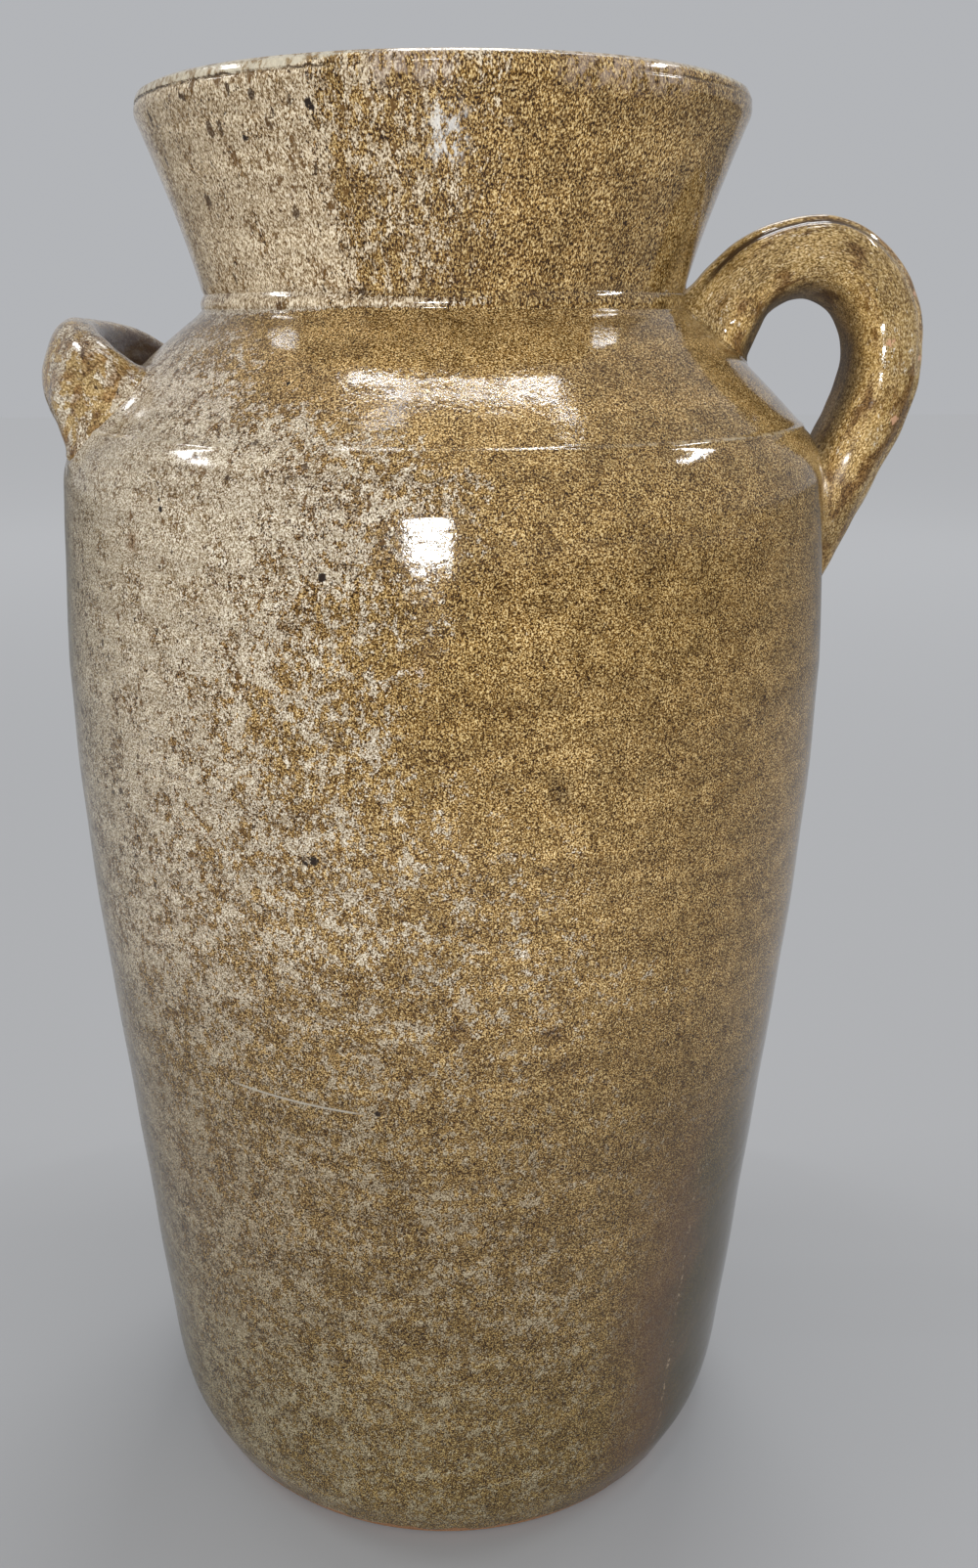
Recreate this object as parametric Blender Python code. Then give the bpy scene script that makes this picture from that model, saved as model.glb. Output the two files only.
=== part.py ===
"""Stoneware butter churn: a jar thrown in two sections with a flared collar and two unlike handles.

The jar stands on z = 0 with its axis on Z. The strap handle is toward +X and the lug handle toward -X.
All lengths are in metres.
"""
import math

import bmesh
import bpy
from mathutils import Vector

# Jar wall, from the foot up to the corner of the shoulder
FOOT_RADIUS = 0.0982
FOOT_CHAMFER = 0.0016
BELLY_RADIUS = 0.1287
SHOULDER_INSET = 0.0035
SHOULDER_HEIGHT = 0.3680
BELLY_DROP = 0.0680
SHOULDER_ROUND = 0.0090
WALL = 0.0095
FLOOR = 0.0120
FLOOR_ROUND = 0.0140

# Shoulder and neck
SHOULDER_RISE = 0.0434
SHOULDER_CROWN = 0.0026
NECK_RADIUS = 0.0780
LEDGE_WIDTH = 0.0052

# Lap joints between the thrown sections
JOIN_HEIGHT = 0.1860
LAP_HEIGHT = 0.0060
TONGUE_WALL = 0.0045
JOINT_GAP = 0.0003

# Collar
COLLAR_HEIGHT = 0.0636
COLLAR_WALL = 0.0075
BEAD_HEIGHT = 0.0045
BEAD_PROUD = 0.0010
RIM_RADIUS = 0.0966
RIM_DROP = 0.0065
RIM_WALL = 0.0095
FLARE_HOLLOW = 0.0010

# Strap handle, a thick pulled strap standing on edge
STRAP_THICKNESS = 0.0245
STRAP_WIDTH = 0.0350
STRAP_ROOT_THICKNESS = 0.0300
STRAP_ROOT_WIDTH = 0.0400
STRAP_RISE = 0.0168
STRAP_REACH = 0.0171
STRAP_LANDING_DROP = 0.0105
STRAP_LANDING_REACH = 0.0068
TAIL_LENGTH = 0.0450
TAIL_THICKNESS = 0.0050
TAIL_WIDTH = 0.0120
STRAP_ROOT_SHARE = 0.78

# Lug handle, a short strap bowed out from the shoulder and pressed on at both ends
LUG_THICKNESS = 0.0175
LUG_DEPTH = 0.0280
LUG_ROOT_THICKNESS = 0.0200
LUG_ROOT_DEPTH = 0.0420
LUG_STANDOFF = 0.0160
LUG_HALF_SPAN = 0.0465
LUG_TILT = math.radians(16.0)
LUG_SHARE = 0.32

# How far both handles' ends run on into the wall before they are trimmed
ROOT_DEPTH = 0.0080

# Fineness of the facets, and the roundness of the handles' full ovals
TURNS = 60
WALL_RINGS = 8
ARC_RINGS = 4
STRAP_SIDES = 18
LUG_SIDES = 16
STRAP_STEPS = 5
LUG_STEPS = 4
OVALNESS = 2.5
SHARP_ANGLE = math.radians(40.0)

# Outlines, as shares of the sizes that they follow
FLANK_SHARES = ((0.0, 0.0), (0.06, 0.26), (0.16, 0.40), (0.35, 0.57), (0.54, 0.74), (0.73, 0.90),
                (0.88, 0.98), (1.0, 1.0))
SHOULDER_WALL_SHARES = ((0.0, 0.0), (0.48, 0.43), (0.72, 0.69), (1.0, 1.0))
FOOT_RING_SHARES = (0.03, 0.07, 0.12, 0.19, 0.29, 0.43, 0.61, 0.80, 1.0)
RIM_SHARES = ((1.0, 0.0), (0.99, 0.42), (0.88, 0.80), (0.62, 1.0), (0.36, 0.97), (0.12, 0.75), (0.0, 0.30))
STRAP_ARCH_SHARES = ((0.18, 0.68), (0.56, 1.0))
STRAP_RETURN_SHARES = ((0.88, 0.144), (1.0, 0.434), (0.925, 0.724))
LUG_ARCH_SHARES = ((-1.08, -0.45), (-0.94, 0.15), (-0.80, 0.52), (-0.55, 0.82), (-0.28, 0.96), (0.0, 1.0),
                   (0.28, 0.96), (0.55, 0.82), (0.80, 0.52), (0.94, 0.15), (1.08, -0.45))

# Glazed and bare clay colours
OLIVE_GLAZE = (0.27, 0.19, 0.10)
UPPER_GLAZE = (0.31, 0.23, 0.12)
CREAM_GLAZE = (0.38, 0.31, 0.21)
HANDLE_GLAZE = (0.30, 0.21, 0.11)
LUG_GLAZE = (0.36, 0.27, 0.17)

SHOULDER_RADIUS = BELLY_RADIUS - SHOULDER_INSET
NECK_HEIGHT = SHOULDER_HEIGHT + SHOULDER_RISE
RIM_HEIGHT = NECK_HEIGHT + COLLAR_HEIGHT
LEDGE_HEIGHT = NECK_HEIGHT + LAP_HEIGHT
LEDGE_RADIUS = NECK_RADIUS - COLLAR_WALL - JOINT_GAP
THROAT_RADIUS = LEDGE_RADIUS - LEDGE_WIDTH
BELLY_HEIGHT = SHOULDER_HEIGHT - BELLY_DROP


def clear_scene():
    for item in list(bpy.data.objects):
        bpy.data.objects.remove(item, do_unlink=True)


def glaze(name, colour, roughness=0.25):
    material = bpy.data.materials.new(name)
    material.use_nodes = True
    shader = material.node_tree.nodes["Principled BSDF"]
    shader.inputs["Base Color"].default_value = (*colour, 1.0)
    shader.inputs["Roughness"].default_value = roughness
    shader.inputs["Metallic"].default_value = 0.0
    return material


def smooth_value(stations, x):
    """Value at x on a smooth curve through (x, value) stations."""
    last = len(stations) - 1
    index = max(i for i in range(last) if stations[i][0] <= x or i == 0)

    def slope(i):
        low, high = stations[max(i - 1, 0)], stations[min(i + 1, last)]
        return (high[1] - low[1]) / (high[0] - low[0])

    (x0, y0), (x1, y1) = stations[index], stations[index + 1]
    span = x1 - x0
    t = (x - x0) / span
    start, end = slope(index) * span, slope(index + 1) * span
    return (y0 * (1 + 2 * t) * (1 - t) ** 2 + start * t * (1 - t) ** 2
            + y1 * t * t * (3 - 2 * t) + end * t * t * (t - 1))


def wall_radius(height):
    """Outer radius of the jar wall, from the foot to the corner of the shoulder."""
    if height <= BELLY_HEIGHT:
        share = smooth_value(FLANK_SHARES, height / BELLY_HEIGHT)
        return FOOT_RADIUS + share * (BELLY_RADIUS - FOOT_RADIUS)
    share = smooth_value(SHOULDER_WALL_SHARES, (height - BELLY_HEIGHT) / BELLY_DROP)
    return BELLY_RADIUS + share * (SHOULDER_RADIUS - BELLY_RADIUS)


def shoulder_point(share):
    """Radius and height on the shoulder, from its corner (0) to the neck (1)."""
    crown = SHOULDER_CROWN * 4.0 * share * (1.0 - share)
    return (SHOULDER_RADIUS + share * (NECK_RADIUS - SHOULDER_RADIUS),
            SHOULDER_HEIGHT + share * SHOULDER_RISE + crown)


def shoulder_outline():
    """Rounded corner and crowned shoulder up to the neck."""
    steps = ARC_RINGS + 1
    slope_length = math.hypot(SHOULDER_RADIUS - NECK_RADIUS, SHOULDER_RISE)
    first_share = SHOULDER_ROUND / slope_length
    start_height = SHOULDER_HEIGHT - SHOULDER_ROUND
    start = Vector((wall_radius(start_height), start_height))
    corner = Vector((SHOULDER_RADIUS, SHOULDER_HEIGHT))
    end = Vector(shoulder_point(first_share))
    points = []
    for step in range(1, steps + 1):
        t = step / steps
        spot = start * (1 - t) ** 2 + corner * 2 * t * (1 - t) + end * t * t
        points.append((spot.x, spot.y))
    for step in range(1, steps + 1):
        points.append(shoulder_point(first_share + (1.0 - first_share) * step / steps))
    return points


def steps_between(low, high, count):
    return [low + (high - low) * step / count for step in range(count + 1)]


def offset_outline(points, distance):
    """The outline moved square to itself, toward the outside for a positive distance."""
    moved = []
    for i, point in enumerate(points):
        here = Vector(point)
        before = (here - Vector(points[i - 1])).normalized() if i else None
        after = (Vector(points[i + 1]) - here).normalized() if i + 1 < len(points) else before
        before = before or after
        miter = before + after
        miter *= distance / (1.0 + before.dot(after))
        moved.append((point[0] + miter.y, point[1] - miter.x))
    return moved


def collar_radius(share):
    """Outer radius of the flared collar, from the top of its bead (0) to the rim (1)."""
    hollow = FLARE_HOLLOW * 4.0 * share * (1.0 - share)
    return NECK_RADIUS + share * (RIM_RADIUS - NECK_RADIUS) - hollow


def collar_outline():
    """Outside of the collar, from its foot over the bead and flare to the top of the rim."""
    foot = NECK_HEIGHT + JOINT_GAP
    flare_start = foot + BEAD_HEIGHT
    flare_end = RIM_HEIGHT - RIM_DROP
    points = [(NECK_RADIUS, foot)]
    for step in range(1, ARC_RINGS):
        angle = math.pi * step / ARC_RINGS
        points.append((NECK_RADIUS + BEAD_PROUD * math.sin(angle), foot + BEAD_HEIGHT * step / ARC_RINGS))
    points += [(collar_radius(share), flare_start + share * (flare_end - flare_start))
               for share in steps_between(0.0, 1.0, WALL_RINGS)]
    return points


def rim_outline():
    """Rounded rim, from its outer edge over the crest to its inner edge."""
    low = RIM_HEIGHT - RIM_DROP
    return [(RIM_RADIUS - RIM_WALL * (1.0 - across), low + RIM_DROP * up) for across, up in RIM_SHARES[1:]]


def lathe(name, outline, material):
    """Closed body turned from an outline of (radius, height) points."""
    mesh = bmesh.new()
    corners = [mesh.verts.new((radius, 0.0, height)) for radius, height in outline]
    edges = [mesh.edges.new(pair) for pair in zip(corners, corners[1:])]
    if outline[0][0] > 0.0:
        edges.append(mesh.edges.new((corners[-1], corners[0])))
    bmesh.ops.spin(mesh, geom=corners + edges, cent=(0, 0, 0), axis=(0, 0, 1), dvec=(0, 0, 0),
                   angle=math.tau, steps=TURNS, use_merge=True)
    bmesh.ops.remove_doubles(mesh, verts=mesh.verts, dist=JOINT_GAP * 0.01)
    return finish_mesh(name, mesh, material)


def sweep(name, rings, material):
    """Closed bar skinned over rings of points."""
    mesh = bmesh.new()
    loops = [[mesh.verts.new(point) for point in ring] for ring in rings]
    for low, high in zip(loops, loops[1:]):
        for i in range(len(low)):
            j = (i + 1) % len(low)
            mesh.faces.new((low[i], low[j], high[j], high[i]))
    mesh.faces.new(loops[0])
    mesh.faces.new(loops[-1])
    return finish_mesh(name, mesh, material)


def finish_mesh(name, mesh, material):
    bmesh.ops.recalc_face_normals(mesh, faces=mesh.faces)
    data = bpy.data.meshes.new(name)
    mesh.to_mesh(data)
    mesh.free()
    data.materials.append(material)
    data.shade_smooth()
    data.set_sharp_from_angle(angle=SHARP_ANGLE)
    item = bpy.data.objects.new(name, data)
    bpy.context.scene.collection.objects.link(item)
    return item


def oval(centre, across, upright, half_across, half_upright, sides):
    """Ring of points on a full oval."""
    ring = []
    for side in range(sides):
        angle = math.tau * side / sides
        cosine, sine = math.cos(angle), math.sin(angle)
        x = math.copysign(abs(cosine) ** (2.0 / OVALNESS), cosine) * half_across
        y = math.copysign(abs(sine) ** (2.0 / OVALNESS), sine) * half_upright
        ring.append(centre + across * x + upright * y)
    return ring


def curve_through(points, steps):
    """Smooth curve through points, with even steps between neighbours."""
    ends = [points[0] * 2 - points[1]] + list(points) + [points[-1] * 2 - points[-2]]
    curve = []
    for i in range(1, len(ends) - 2):
        before, start, end, after = ends[i - 1:i + 3]
        for step in range(steps):
            t = step / steps
            curve.append(0.5 * (start * 2 + (end - before) * t
                                + (before * 2 - start * 5 + end * 4 - after) * t * t
                                + (start * 3 - before - end * 3 + after) * t ** 3))
    curve.append(points[-1].copy())
    return curve


def tangents(curve):
    last = len(curve) - 1
    return [(curve[min(i + 1, last)] - curve[max(i - 1, 0)]).normalized() for i in range(last + 1)]


def make_lower_body():
    """Floor and lower wall, ending in the tongue of the lap joint."""
    outside = [(0.0, 0.0), (FOOT_RADIUS - FOOT_CHAMFER, 0.0), (FOOT_RADIUS, FOOT_CHAMFER)]
    for share in FOOT_RING_SHARES:
        height = FOOT_CHAMFER + share * (JOIN_HEIGHT - FOOT_CHAMFER)
        outside.append((wall_radius(height), height))
    bore = wall_radius(JOIN_HEIGHT) - WALL
    tongue = bore + TONGUE_WALL
    top = JOIN_HEIGHT + LAP_HEIGHT
    inside_low = FLOOR + FLOOR_ROUND
    inside = [(tongue, JOIN_HEIGHT), (tongue, top), (bore, top)]
    inner_heights = steps_between(inside_low, JOIN_HEIGHT, ARC_RINGS + 1)
    inside += [(wall_radius(z) - WALL, z) for z in reversed(inner_heights)]
    round_centre = wall_radius(inside_low) - WALL - FLOOR_ROUND
    for step in range(1, ARC_RINGS + 1):
        angle = math.pi / 2 * step / ARC_RINGS
        inside.append((round_centre + FLOOR_ROUND * math.cos(angle),
                       inside_low - FLOOR_ROUND * math.sin(angle)))
    inside.append((0.0, FLOOR))
    return lathe("lower_body", outside + inside, glaze("olive_glaze", OLIVE_GLAZE))


def make_upper_body():
    """Upper wall, shoulder and throat, seated over the lower section's tongue."""
    seat = JOIN_HEIGHT + JOINT_GAP
    seat_top = JOIN_HEIGHT + LAP_HEIGHT + JOINT_GAP
    bore = wall_radius(JOIN_HEIGHT) - WALL
    rebate = bore + TONGUE_WALL + JOINT_GAP
    wall = [(wall_radius(z), z) for z in steps_between(seat, SHOULDER_HEIGHT - SHOULDER_ROUND, WALL_RINGS)]
    outside = wall + shoulder_outline()
    inner_heights = steps_between(seat_top, SHOULDER_HEIGHT - SHOULDER_ROUND, ARC_RINGS)
    inner_wall = [(wall_radius(z), z) for z in inner_heights]
    inner = offset_outline(inner_wall + shoulder_outline(), -WALL)
    inner[0] = (bore, seat_top)
    inner = [point for point in inner if point[0] > THROAT_RADIUS + LEDGE_WIDTH]
    throat_low = inner[-1][1] + LEDGE_WIDTH
    top = [(LEDGE_RADIUS, NECK_HEIGHT), (LEDGE_RADIUS, LEDGE_HEIGHT), (THROAT_RADIUS, LEDGE_HEIGHT),
           (THROAT_RADIUS, throat_low)]
    outline = outside + top + list(reversed(inner)) + [(rebate, seat_top), (rebate, seat)]
    return lathe("upper_body", outline, glaze("upper_glaze", UPPER_GLAZE))


def make_collar():
    """Flared collar whose foot laps round the neck's tongue and bears the lid ledge inside."""
    foot = NECK_HEIGHT + JOINT_GAP
    flare_start = foot + BEAD_HEIGHT
    flare_end = RIM_HEIGHT - RIM_DROP
    inside = []
    for share in reversed(steps_between(0.0, 1.0, ARC_RINGS)[1:-1]):
        thickness = COLLAR_WALL + share * (RIM_WALL - COLLAR_WALL)
        inside.append((collar_radius(share) - thickness, flare_start + share * (flare_end - flare_start)))
    bore = LEDGE_RADIUS + JOINT_GAP
    inside += [(bore, LEDGE_HEIGHT), (bore, foot)]
    return lathe("collar", collar_outline() + rim_outline() + inside, glaze("cream_glaze", CREAM_GLAZE))


def make_handle_cutter():
    """Outside of the whole jar, one joint gap larger, that trims the handles to their seats."""
    wall_heights = steps_between(FOOT_CHAMFER, SHOULDER_HEIGHT - SHOULDER_ROUND, 3 * WALL_RINGS)
    wall = [(wall_radius(z), z) for z in wall_heights]
    outline = offset_outline(wall + shoulder_outline()[:-1] + collar_outline(), JOINT_GAP)
    closed = [(0.0, FOOT_CHAMFER)] + outline + [(0.0, outline[-1][1])]
    cutter = lathe("handle_cutter", closed, bpy.data.materials.new("cutter"))
    cutter.hide_render = True
    cutter.display_type = "WIRE"
    return cutter


def trim_to_jar(handle, cutter):
    cut = handle.modifiers.new("seat_on_jar", "BOOLEAN")
    cut.operation = "DIFFERENCE"
    cut.solver = "EXACT"
    cut.object = cutter


def strap_path():
    """Centre line of the strap, from inside the shoulder over the arch to the end of the tail."""
    root_radius, root_height = shoulder_point(STRAP_ROOT_SHARE)
    reach = BELLY_RADIUS + STRAP_REACH
    top = NECK_HEIGHT + STRAP_RISE
    landing = SHOULDER_HEIGHT - STRAP_LANDING_DROP
    tail_height = landing - TAIL_LENGTH
    width = reach - root_radius
    out = Vector((SHOULDER_RISE, 0.0, SHOULDER_RADIUS - NECK_RADIUS)).normalized()
    root = Vector((root_radius, 0.0, root_height))
    points = [root - out * ROOT_DEPTH, root]
    points += [Vector((root_radius + x * width, 0.0, root_height + z * (top - root_height)))
               for x, z in STRAP_ARCH_SHARES]
    points += [Vector((root_radius + x * width, 0.0, top + z * (landing - top)))
               for x, z in STRAP_RETURN_SHARES]
    points.append(Vector((wall_radius(landing) + STRAP_LANDING_REACH, 0.0, landing)))
    middle = landing - TAIL_LENGTH / 2
    points.append(Vector((wall_radius(middle) + TAIL_THICKNESS / 4, 0.0, middle)))
    points.append(Vector((wall_radius(tail_height) - TAIL_THICKNESS, 0.0, tail_height)))
    return points


def make_strap_handle(cutter):
    """Pulled strap, thick at its root on the shoulder and wiped down the wall in a long tail."""
    points = strap_path()
    curve = curve_through(points, STRAP_STEPS)
    root, strap = (STRAP_ROOT_THICKNESS, STRAP_ROOT_WIDTH), (STRAP_THICKNESS, STRAP_WIDTH)
    tail = (TAIL_THICKNESS, TAIL_WIDTH)
    sizes = [root, root, strap, strap, strap, strap, strap, strap,
             ((strap[0] + tail[0]) / 2, (strap[1] + tail[1]) / 2), tail]
    last = len(points) - 1
    rings = []
    for i, (centre, along) in enumerate(zip(curve, tangents(curve))):
        place = i / STRAP_STEPS
        low = min(int(place), last - 1)
        blend = place - low
        thickness = sizes[low][0] + blend * (sizes[low + 1][0] - sizes[low][0])
        width = sizes[low][1] + blend * (sizes[low + 1][1] - sizes[low][1])
        outward = Vector((0.0, 1.0, 0.0)).cross(along)
        rings.append(oval(centre, outward, Vector((0.0, 1.0, 0.0)), thickness / 2, width / 2, STRAP_SIDES))
    handle = sweep("strap_handle", rings, glaze("strap_glaze", HANDLE_GLAZE))
    trim_to_jar(handle, cutter)
    return handle


def lug_centre(span_share, standoff_share):
    """Point on the lug's centre line, by shares of its half span and of its standoff."""
    radius, height = shoulder_point(LUG_SHARE)
    out = Vector((SHOULDER_RISE, SHOULDER_RADIUS - NECK_RADIUS)).normalized()
    radius += out.x * LUG_STANDOFF * standoff_share
    height += out.y * LUG_STANDOFF * standoff_share
    angle = math.pi + span_share * LUG_HALF_SPAN / shoulder_point(LUG_SHARE)[0]
    return Vector((radius * math.cos(angle), radius * math.sin(angle), height))


def make_lug_handle(cutter):
    """Bowed strap set level round the shoulder, deeper where its ends are pressed on."""
    curve = curve_through([lug_centre(*shares) for shares in LUG_ARCH_SHARES], LUG_STEPS)
    last = len(curve) - 1
    rings = []
    for i, (centre, along) in enumerate(zip(curve, tangents(curve))):
        toward_root = abs(2.0 * i / last - 1.0) ** 2.4
        outward = Vector((centre.x, centre.y, 0.0)).normalized()
        lean = Vector((0.0, 0.0, math.cos(LUG_TILT))) - outward * math.sin(LUG_TILT)
        across = along.cross(lean).normalized()
        upright = across.cross(along).normalized()
        thickness = LUG_THICKNESS + toward_root * (LUG_ROOT_THICKNESS - LUG_THICKNESS)
        depth = LUG_DEPTH + toward_root * (LUG_ROOT_DEPTH - LUG_DEPTH)
        rings.append(oval(centre, across, upright, thickness / 2, depth / 2, LUG_SIDES))
    handle = sweep("lug_handle", rings, glaze("lug_glaze", LUG_GLAZE))
    trim_to_jar(handle, cutter)
    return handle


def main():
    clear_scene()
    make_lower_body()
    make_upper_body()
    make_collar()
    cutter = make_handle_cutter()
    make_strap_handle(cutter)
    make_lug_handle(cutter)


main()
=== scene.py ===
"""Stoneware butter churn: the look of the glazed jar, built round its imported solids."""
import math

import bmesh
import bpy
import numpy as np
from mathutils import Matrix, Vector, noise
from mathutils.bvhtree import BVHTree


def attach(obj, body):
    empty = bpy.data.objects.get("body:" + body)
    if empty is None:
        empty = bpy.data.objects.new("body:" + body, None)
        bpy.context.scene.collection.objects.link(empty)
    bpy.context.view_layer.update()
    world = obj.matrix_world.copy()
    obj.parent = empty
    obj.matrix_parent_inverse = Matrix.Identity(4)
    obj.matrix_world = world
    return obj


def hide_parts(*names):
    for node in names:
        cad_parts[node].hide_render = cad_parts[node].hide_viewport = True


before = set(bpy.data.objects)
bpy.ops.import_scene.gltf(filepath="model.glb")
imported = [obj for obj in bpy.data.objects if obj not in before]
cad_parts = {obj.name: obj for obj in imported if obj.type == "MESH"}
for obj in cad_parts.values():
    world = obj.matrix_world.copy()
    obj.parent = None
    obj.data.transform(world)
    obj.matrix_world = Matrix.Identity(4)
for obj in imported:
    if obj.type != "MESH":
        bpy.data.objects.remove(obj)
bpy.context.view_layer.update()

MM = 0.001

# Jar wall, shoulder, neck and collar, as in the solids
FOOT_RADIUS = 0.0982
FOOT_CHAMFER = 0.0016
BELLY_RADIUS = 0.1287
SHOULDER_RADIUS = 0.1252
SHOULDER_HEIGHT = 0.3680
BELLY_HEIGHT = 0.3000
SHOULDER_ROUND = 0.0090
WALL = 0.0095
FLOOR = 0.0120
FLOOR_ROUND = 0.0140
SHOULDER_RISE = 0.0434
SHOULDER_CROWN = 0.0026
NECK_RADIUS = 0.0780
LEDGE_WIDTH = 0.0052
JOIN_HEIGHT = 0.1860
LAP_HEIGHT = 0.0060
TONGUE_WALL = 0.0045
JOINT_GAP = 0.0003
COLLAR_HEIGHT = 0.0636
COLLAR_WALL = 0.0075
BEAD_HEIGHT = 0.0045
BEAD_PROUD = 0.0010
RIM_RADIUS = 0.0966
RIM_DROP = 0.0065
RIM_WALL = 0.0095
FLARE_HOLLOW = 0.0010
NECK_HEIGHT = SHOULDER_HEIGHT + SHOULDER_RISE
RIM_HEIGHT = NECK_HEIGHT + COLLAR_HEIGHT
LEDGE_HEIGHT = NECK_HEIGHT + LAP_HEIGHT
LEDGE_RADIUS = NECK_RADIUS - COLLAR_WALL - JOINT_GAP
THROAT_RADIUS = LEDGE_RADIUS - LEDGE_WIDTH

FLANK_SHARES = ((0.0, 0.0), (0.06, 0.26), (0.16, 0.40), (0.35, 0.57), (0.54, 0.74), (0.73, 0.90),
                (0.88, 0.98), (1.0, 1.0))
SHOULDER_WALL_SHARES = ((0.0, 0.0), (0.48, 0.43), (0.72, 0.69), (1.0, 1.0))
RIM_SHARES = ((1.0, 0.0), (0.99, 0.42), (0.88, 0.80), (0.62, 1.0), (0.36, 0.97), (0.12, 0.75), (0.0, 0.30))

# Fineness: points round the jar and the handles, steps in metres along outlines, steps round corners and
# between the handles' stations, and passes that even out the strap's curve
TURNS = 420
STRAP_SIDES = 96
LUG_SIDES = 64
FINE_STEP = 0.0013
COARSE_STEP = 0.0030
RIM_STEP = 0.0007
FOOT_STEPS = 6
FLOOR_STEPS = 9
CORNER_STEPS = 12
BEAD_STEPS = 14
STRAP_STEPS = 20
LUG_STEPS = 9
SMOOTHING = 60

# Heights whose fine lines get closer rings, with half the band's width
CREST_LINE = 0.3763
LIP_LINE = 0.4708
FINE_BANDS = ((CREST_LINE, 0.0032), (LIP_LINE, 0.0020), (0.1855, 0.0035))

# How softly the handles' roots run into the jar
ROOT_FILLET = 0.0035
TAIL_FILLET = 0.0030
LUG_FILLET = 0.0055


# Outlines


def smooth_value(stations, x):
    """Value at x on a smooth curve through (x, value) stations."""
    last = len(stations) - 1
    index = max(i for i in range(last) if stations[i][0] <= x or i == 0)

    def slope(i):
        low, high = stations[max(i - 1, 0)], stations[min(i + 1, last)]
        return (high[1] - low[1]) / (high[0] - low[0])

    (x0, y0), (x1, y1) = stations[index], stations[index + 1]
    span = x1 - x0
    t = (x - x0) / span
    start, end = slope(index) * span, slope(index + 1) * span
    return (y0 * (1 + 2 * t) * (1 - t) ** 2 + start * t * (1 - t) ** 2
            + y1 * t * t * (3 - 2 * t) + end * t * t * (t - 1))


def wall_radius(height):
    if height <= BELLY_HEIGHT:
        share = smooth_value(FLANK_SHARES, height / BELLY_HEIGHT)
        return FOOT_RADIUS + share * (BELLY_RADIUS - FOOT_RADIUS)
    share = smooth_value(SHOULDER_WALL_SHARES, (height - BELLY_HEIGHT) / (SHOULDER_HEIGHT - BELLY_HEIGHT))
    return BELLY_RADIUS + share * (SHOULDER_RADIUS - BELLY_RADIUS)


def shoulder_point(share):
    crown = SHOULDER_CROWN * 4.0 * share * (1.0 - share)
    return (SHOULDER_RADIUS + share * (NECK_RADIUS - SHOULDER_RADIUS),
            SHOULDER_HEIGHT + share * SHOULDER_RISE + crown)


def shoulder_outline():
    """Rounded corner and crowned shoulder up to the neck."""
    slope_length = math.hypot(SHOULDER_RADIUS - NECK_RADIUS, SHOULDER_RISE)
    first_share = SHOULDER_ROUND / slope_length
    start_height = SHOULDER_HEIGHT - SHOULDER_ROUND
    start = Vector((wall_radius(start_height), start_height))
    corner = Vector((SHOULDER_RADIUS, SHOULDER_HEIGHT))
    end = Vector(shoulder_point(first_share))
    points = []
    for step in range(1, CORNER_STEPS + 1):
        t = step / CORNER_STEPS
        spot = start * (1 - t) ** 2 + corner * 2 * t * (1 - t) + end * t * t
        points.append((spot.x, spot.y))
    count = int(slope_length / FINE_STEP)
    for step in range(1, count + 1):
        points.append(shoulder_point(first_share + (1.0 - first_share) * step / count))
    return points


def heights(low, high, step):
    count = max(2, round(abs(high - low) / step))
    return [low + (high - low) * i / count for i in range(count + 1)]


def collar_radius(share):
    hollow = FLARE_HOLLOW * 4.0 * share * (1.0 - share)
    return NECK_RADIUS + share * (RIM_RADIUS - NECK_RADIUS) - hollow


def resampled(points, step):
    """The same outline with even steps along it."""
    points = np.array(points)
    lengths = np.hypot(*np.diff(points, axis=0).T)
    along = np.concatenate([[0.0], np.cumsum(lengths)])
    count = max(2, round(along[-1] / step))
    places = np.linspace(0.0, along[-1], count + 1)
    return list(zip(np.interp(places, along, points[:, 0]), np.interp(places, along, points[:, 1])))


def finer(points):
    """The same outline with three times the points across its fine lines."""
    result = [points[0]]
    for (r0, z0), (r1, z1) in zip(points, points[1:]):
        if any(abs((z0 + z1) / 2 - centre) < half for centre, half in FINE_BANDS):
            result += [(r0 + (r1 - r0) * t, z0 + (z1 - z0) * t) for t in (1 / 3, 2 / 3)]
        result.append((r1, z1))
    return result


# Rings of the flat underside and of the floor inside, by their radii
UNDERSIDE_RADII = (0.0, 0.030, 0.060, 0.080, 0.090)
FLOOR_RADII = (0.066, 0.052, 0.038, 0.026, 0.015, 0.006, 0.0)
# Bevel under the throat: its width, and its rises below and above its edge
BEVEL_WIDTH = 0.0015
BEVEL_RISES = (0.0026, 0.0016)
# Rounded inner edge of the lid ledge: out and down from the throat's corner
LEDGE_EDGE = ((0.0, 0.0030), (0.0, 0.0012), (0.0004, 0.0003), (0.0012, 0.0))
# Foot of the collar: its lap past the neck and above the ledge, and the slope and fullness of the bead
COLLAR_LAP = 0.0002
LEDGE_LAP = 0.0005
BEAD_FOOT = 0.00035
BEAD_SLOPE = 0.00065
BEAD_SHARE = 0.85
BEAD_FULLNESS = 0.8
# Inside of the collar: its highest and lowest share of the flare, and its rings
COLLAR_INSIDE = (0.97, 0.03, 30)


def skinned(*parts):
    """(radius, height, skin) of each point: 1 on the outer skin, -1 on the inner one and 0 on plain faces."""
    return [(r, z, skin) for points, skin in parts for r, z in points]


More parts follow.
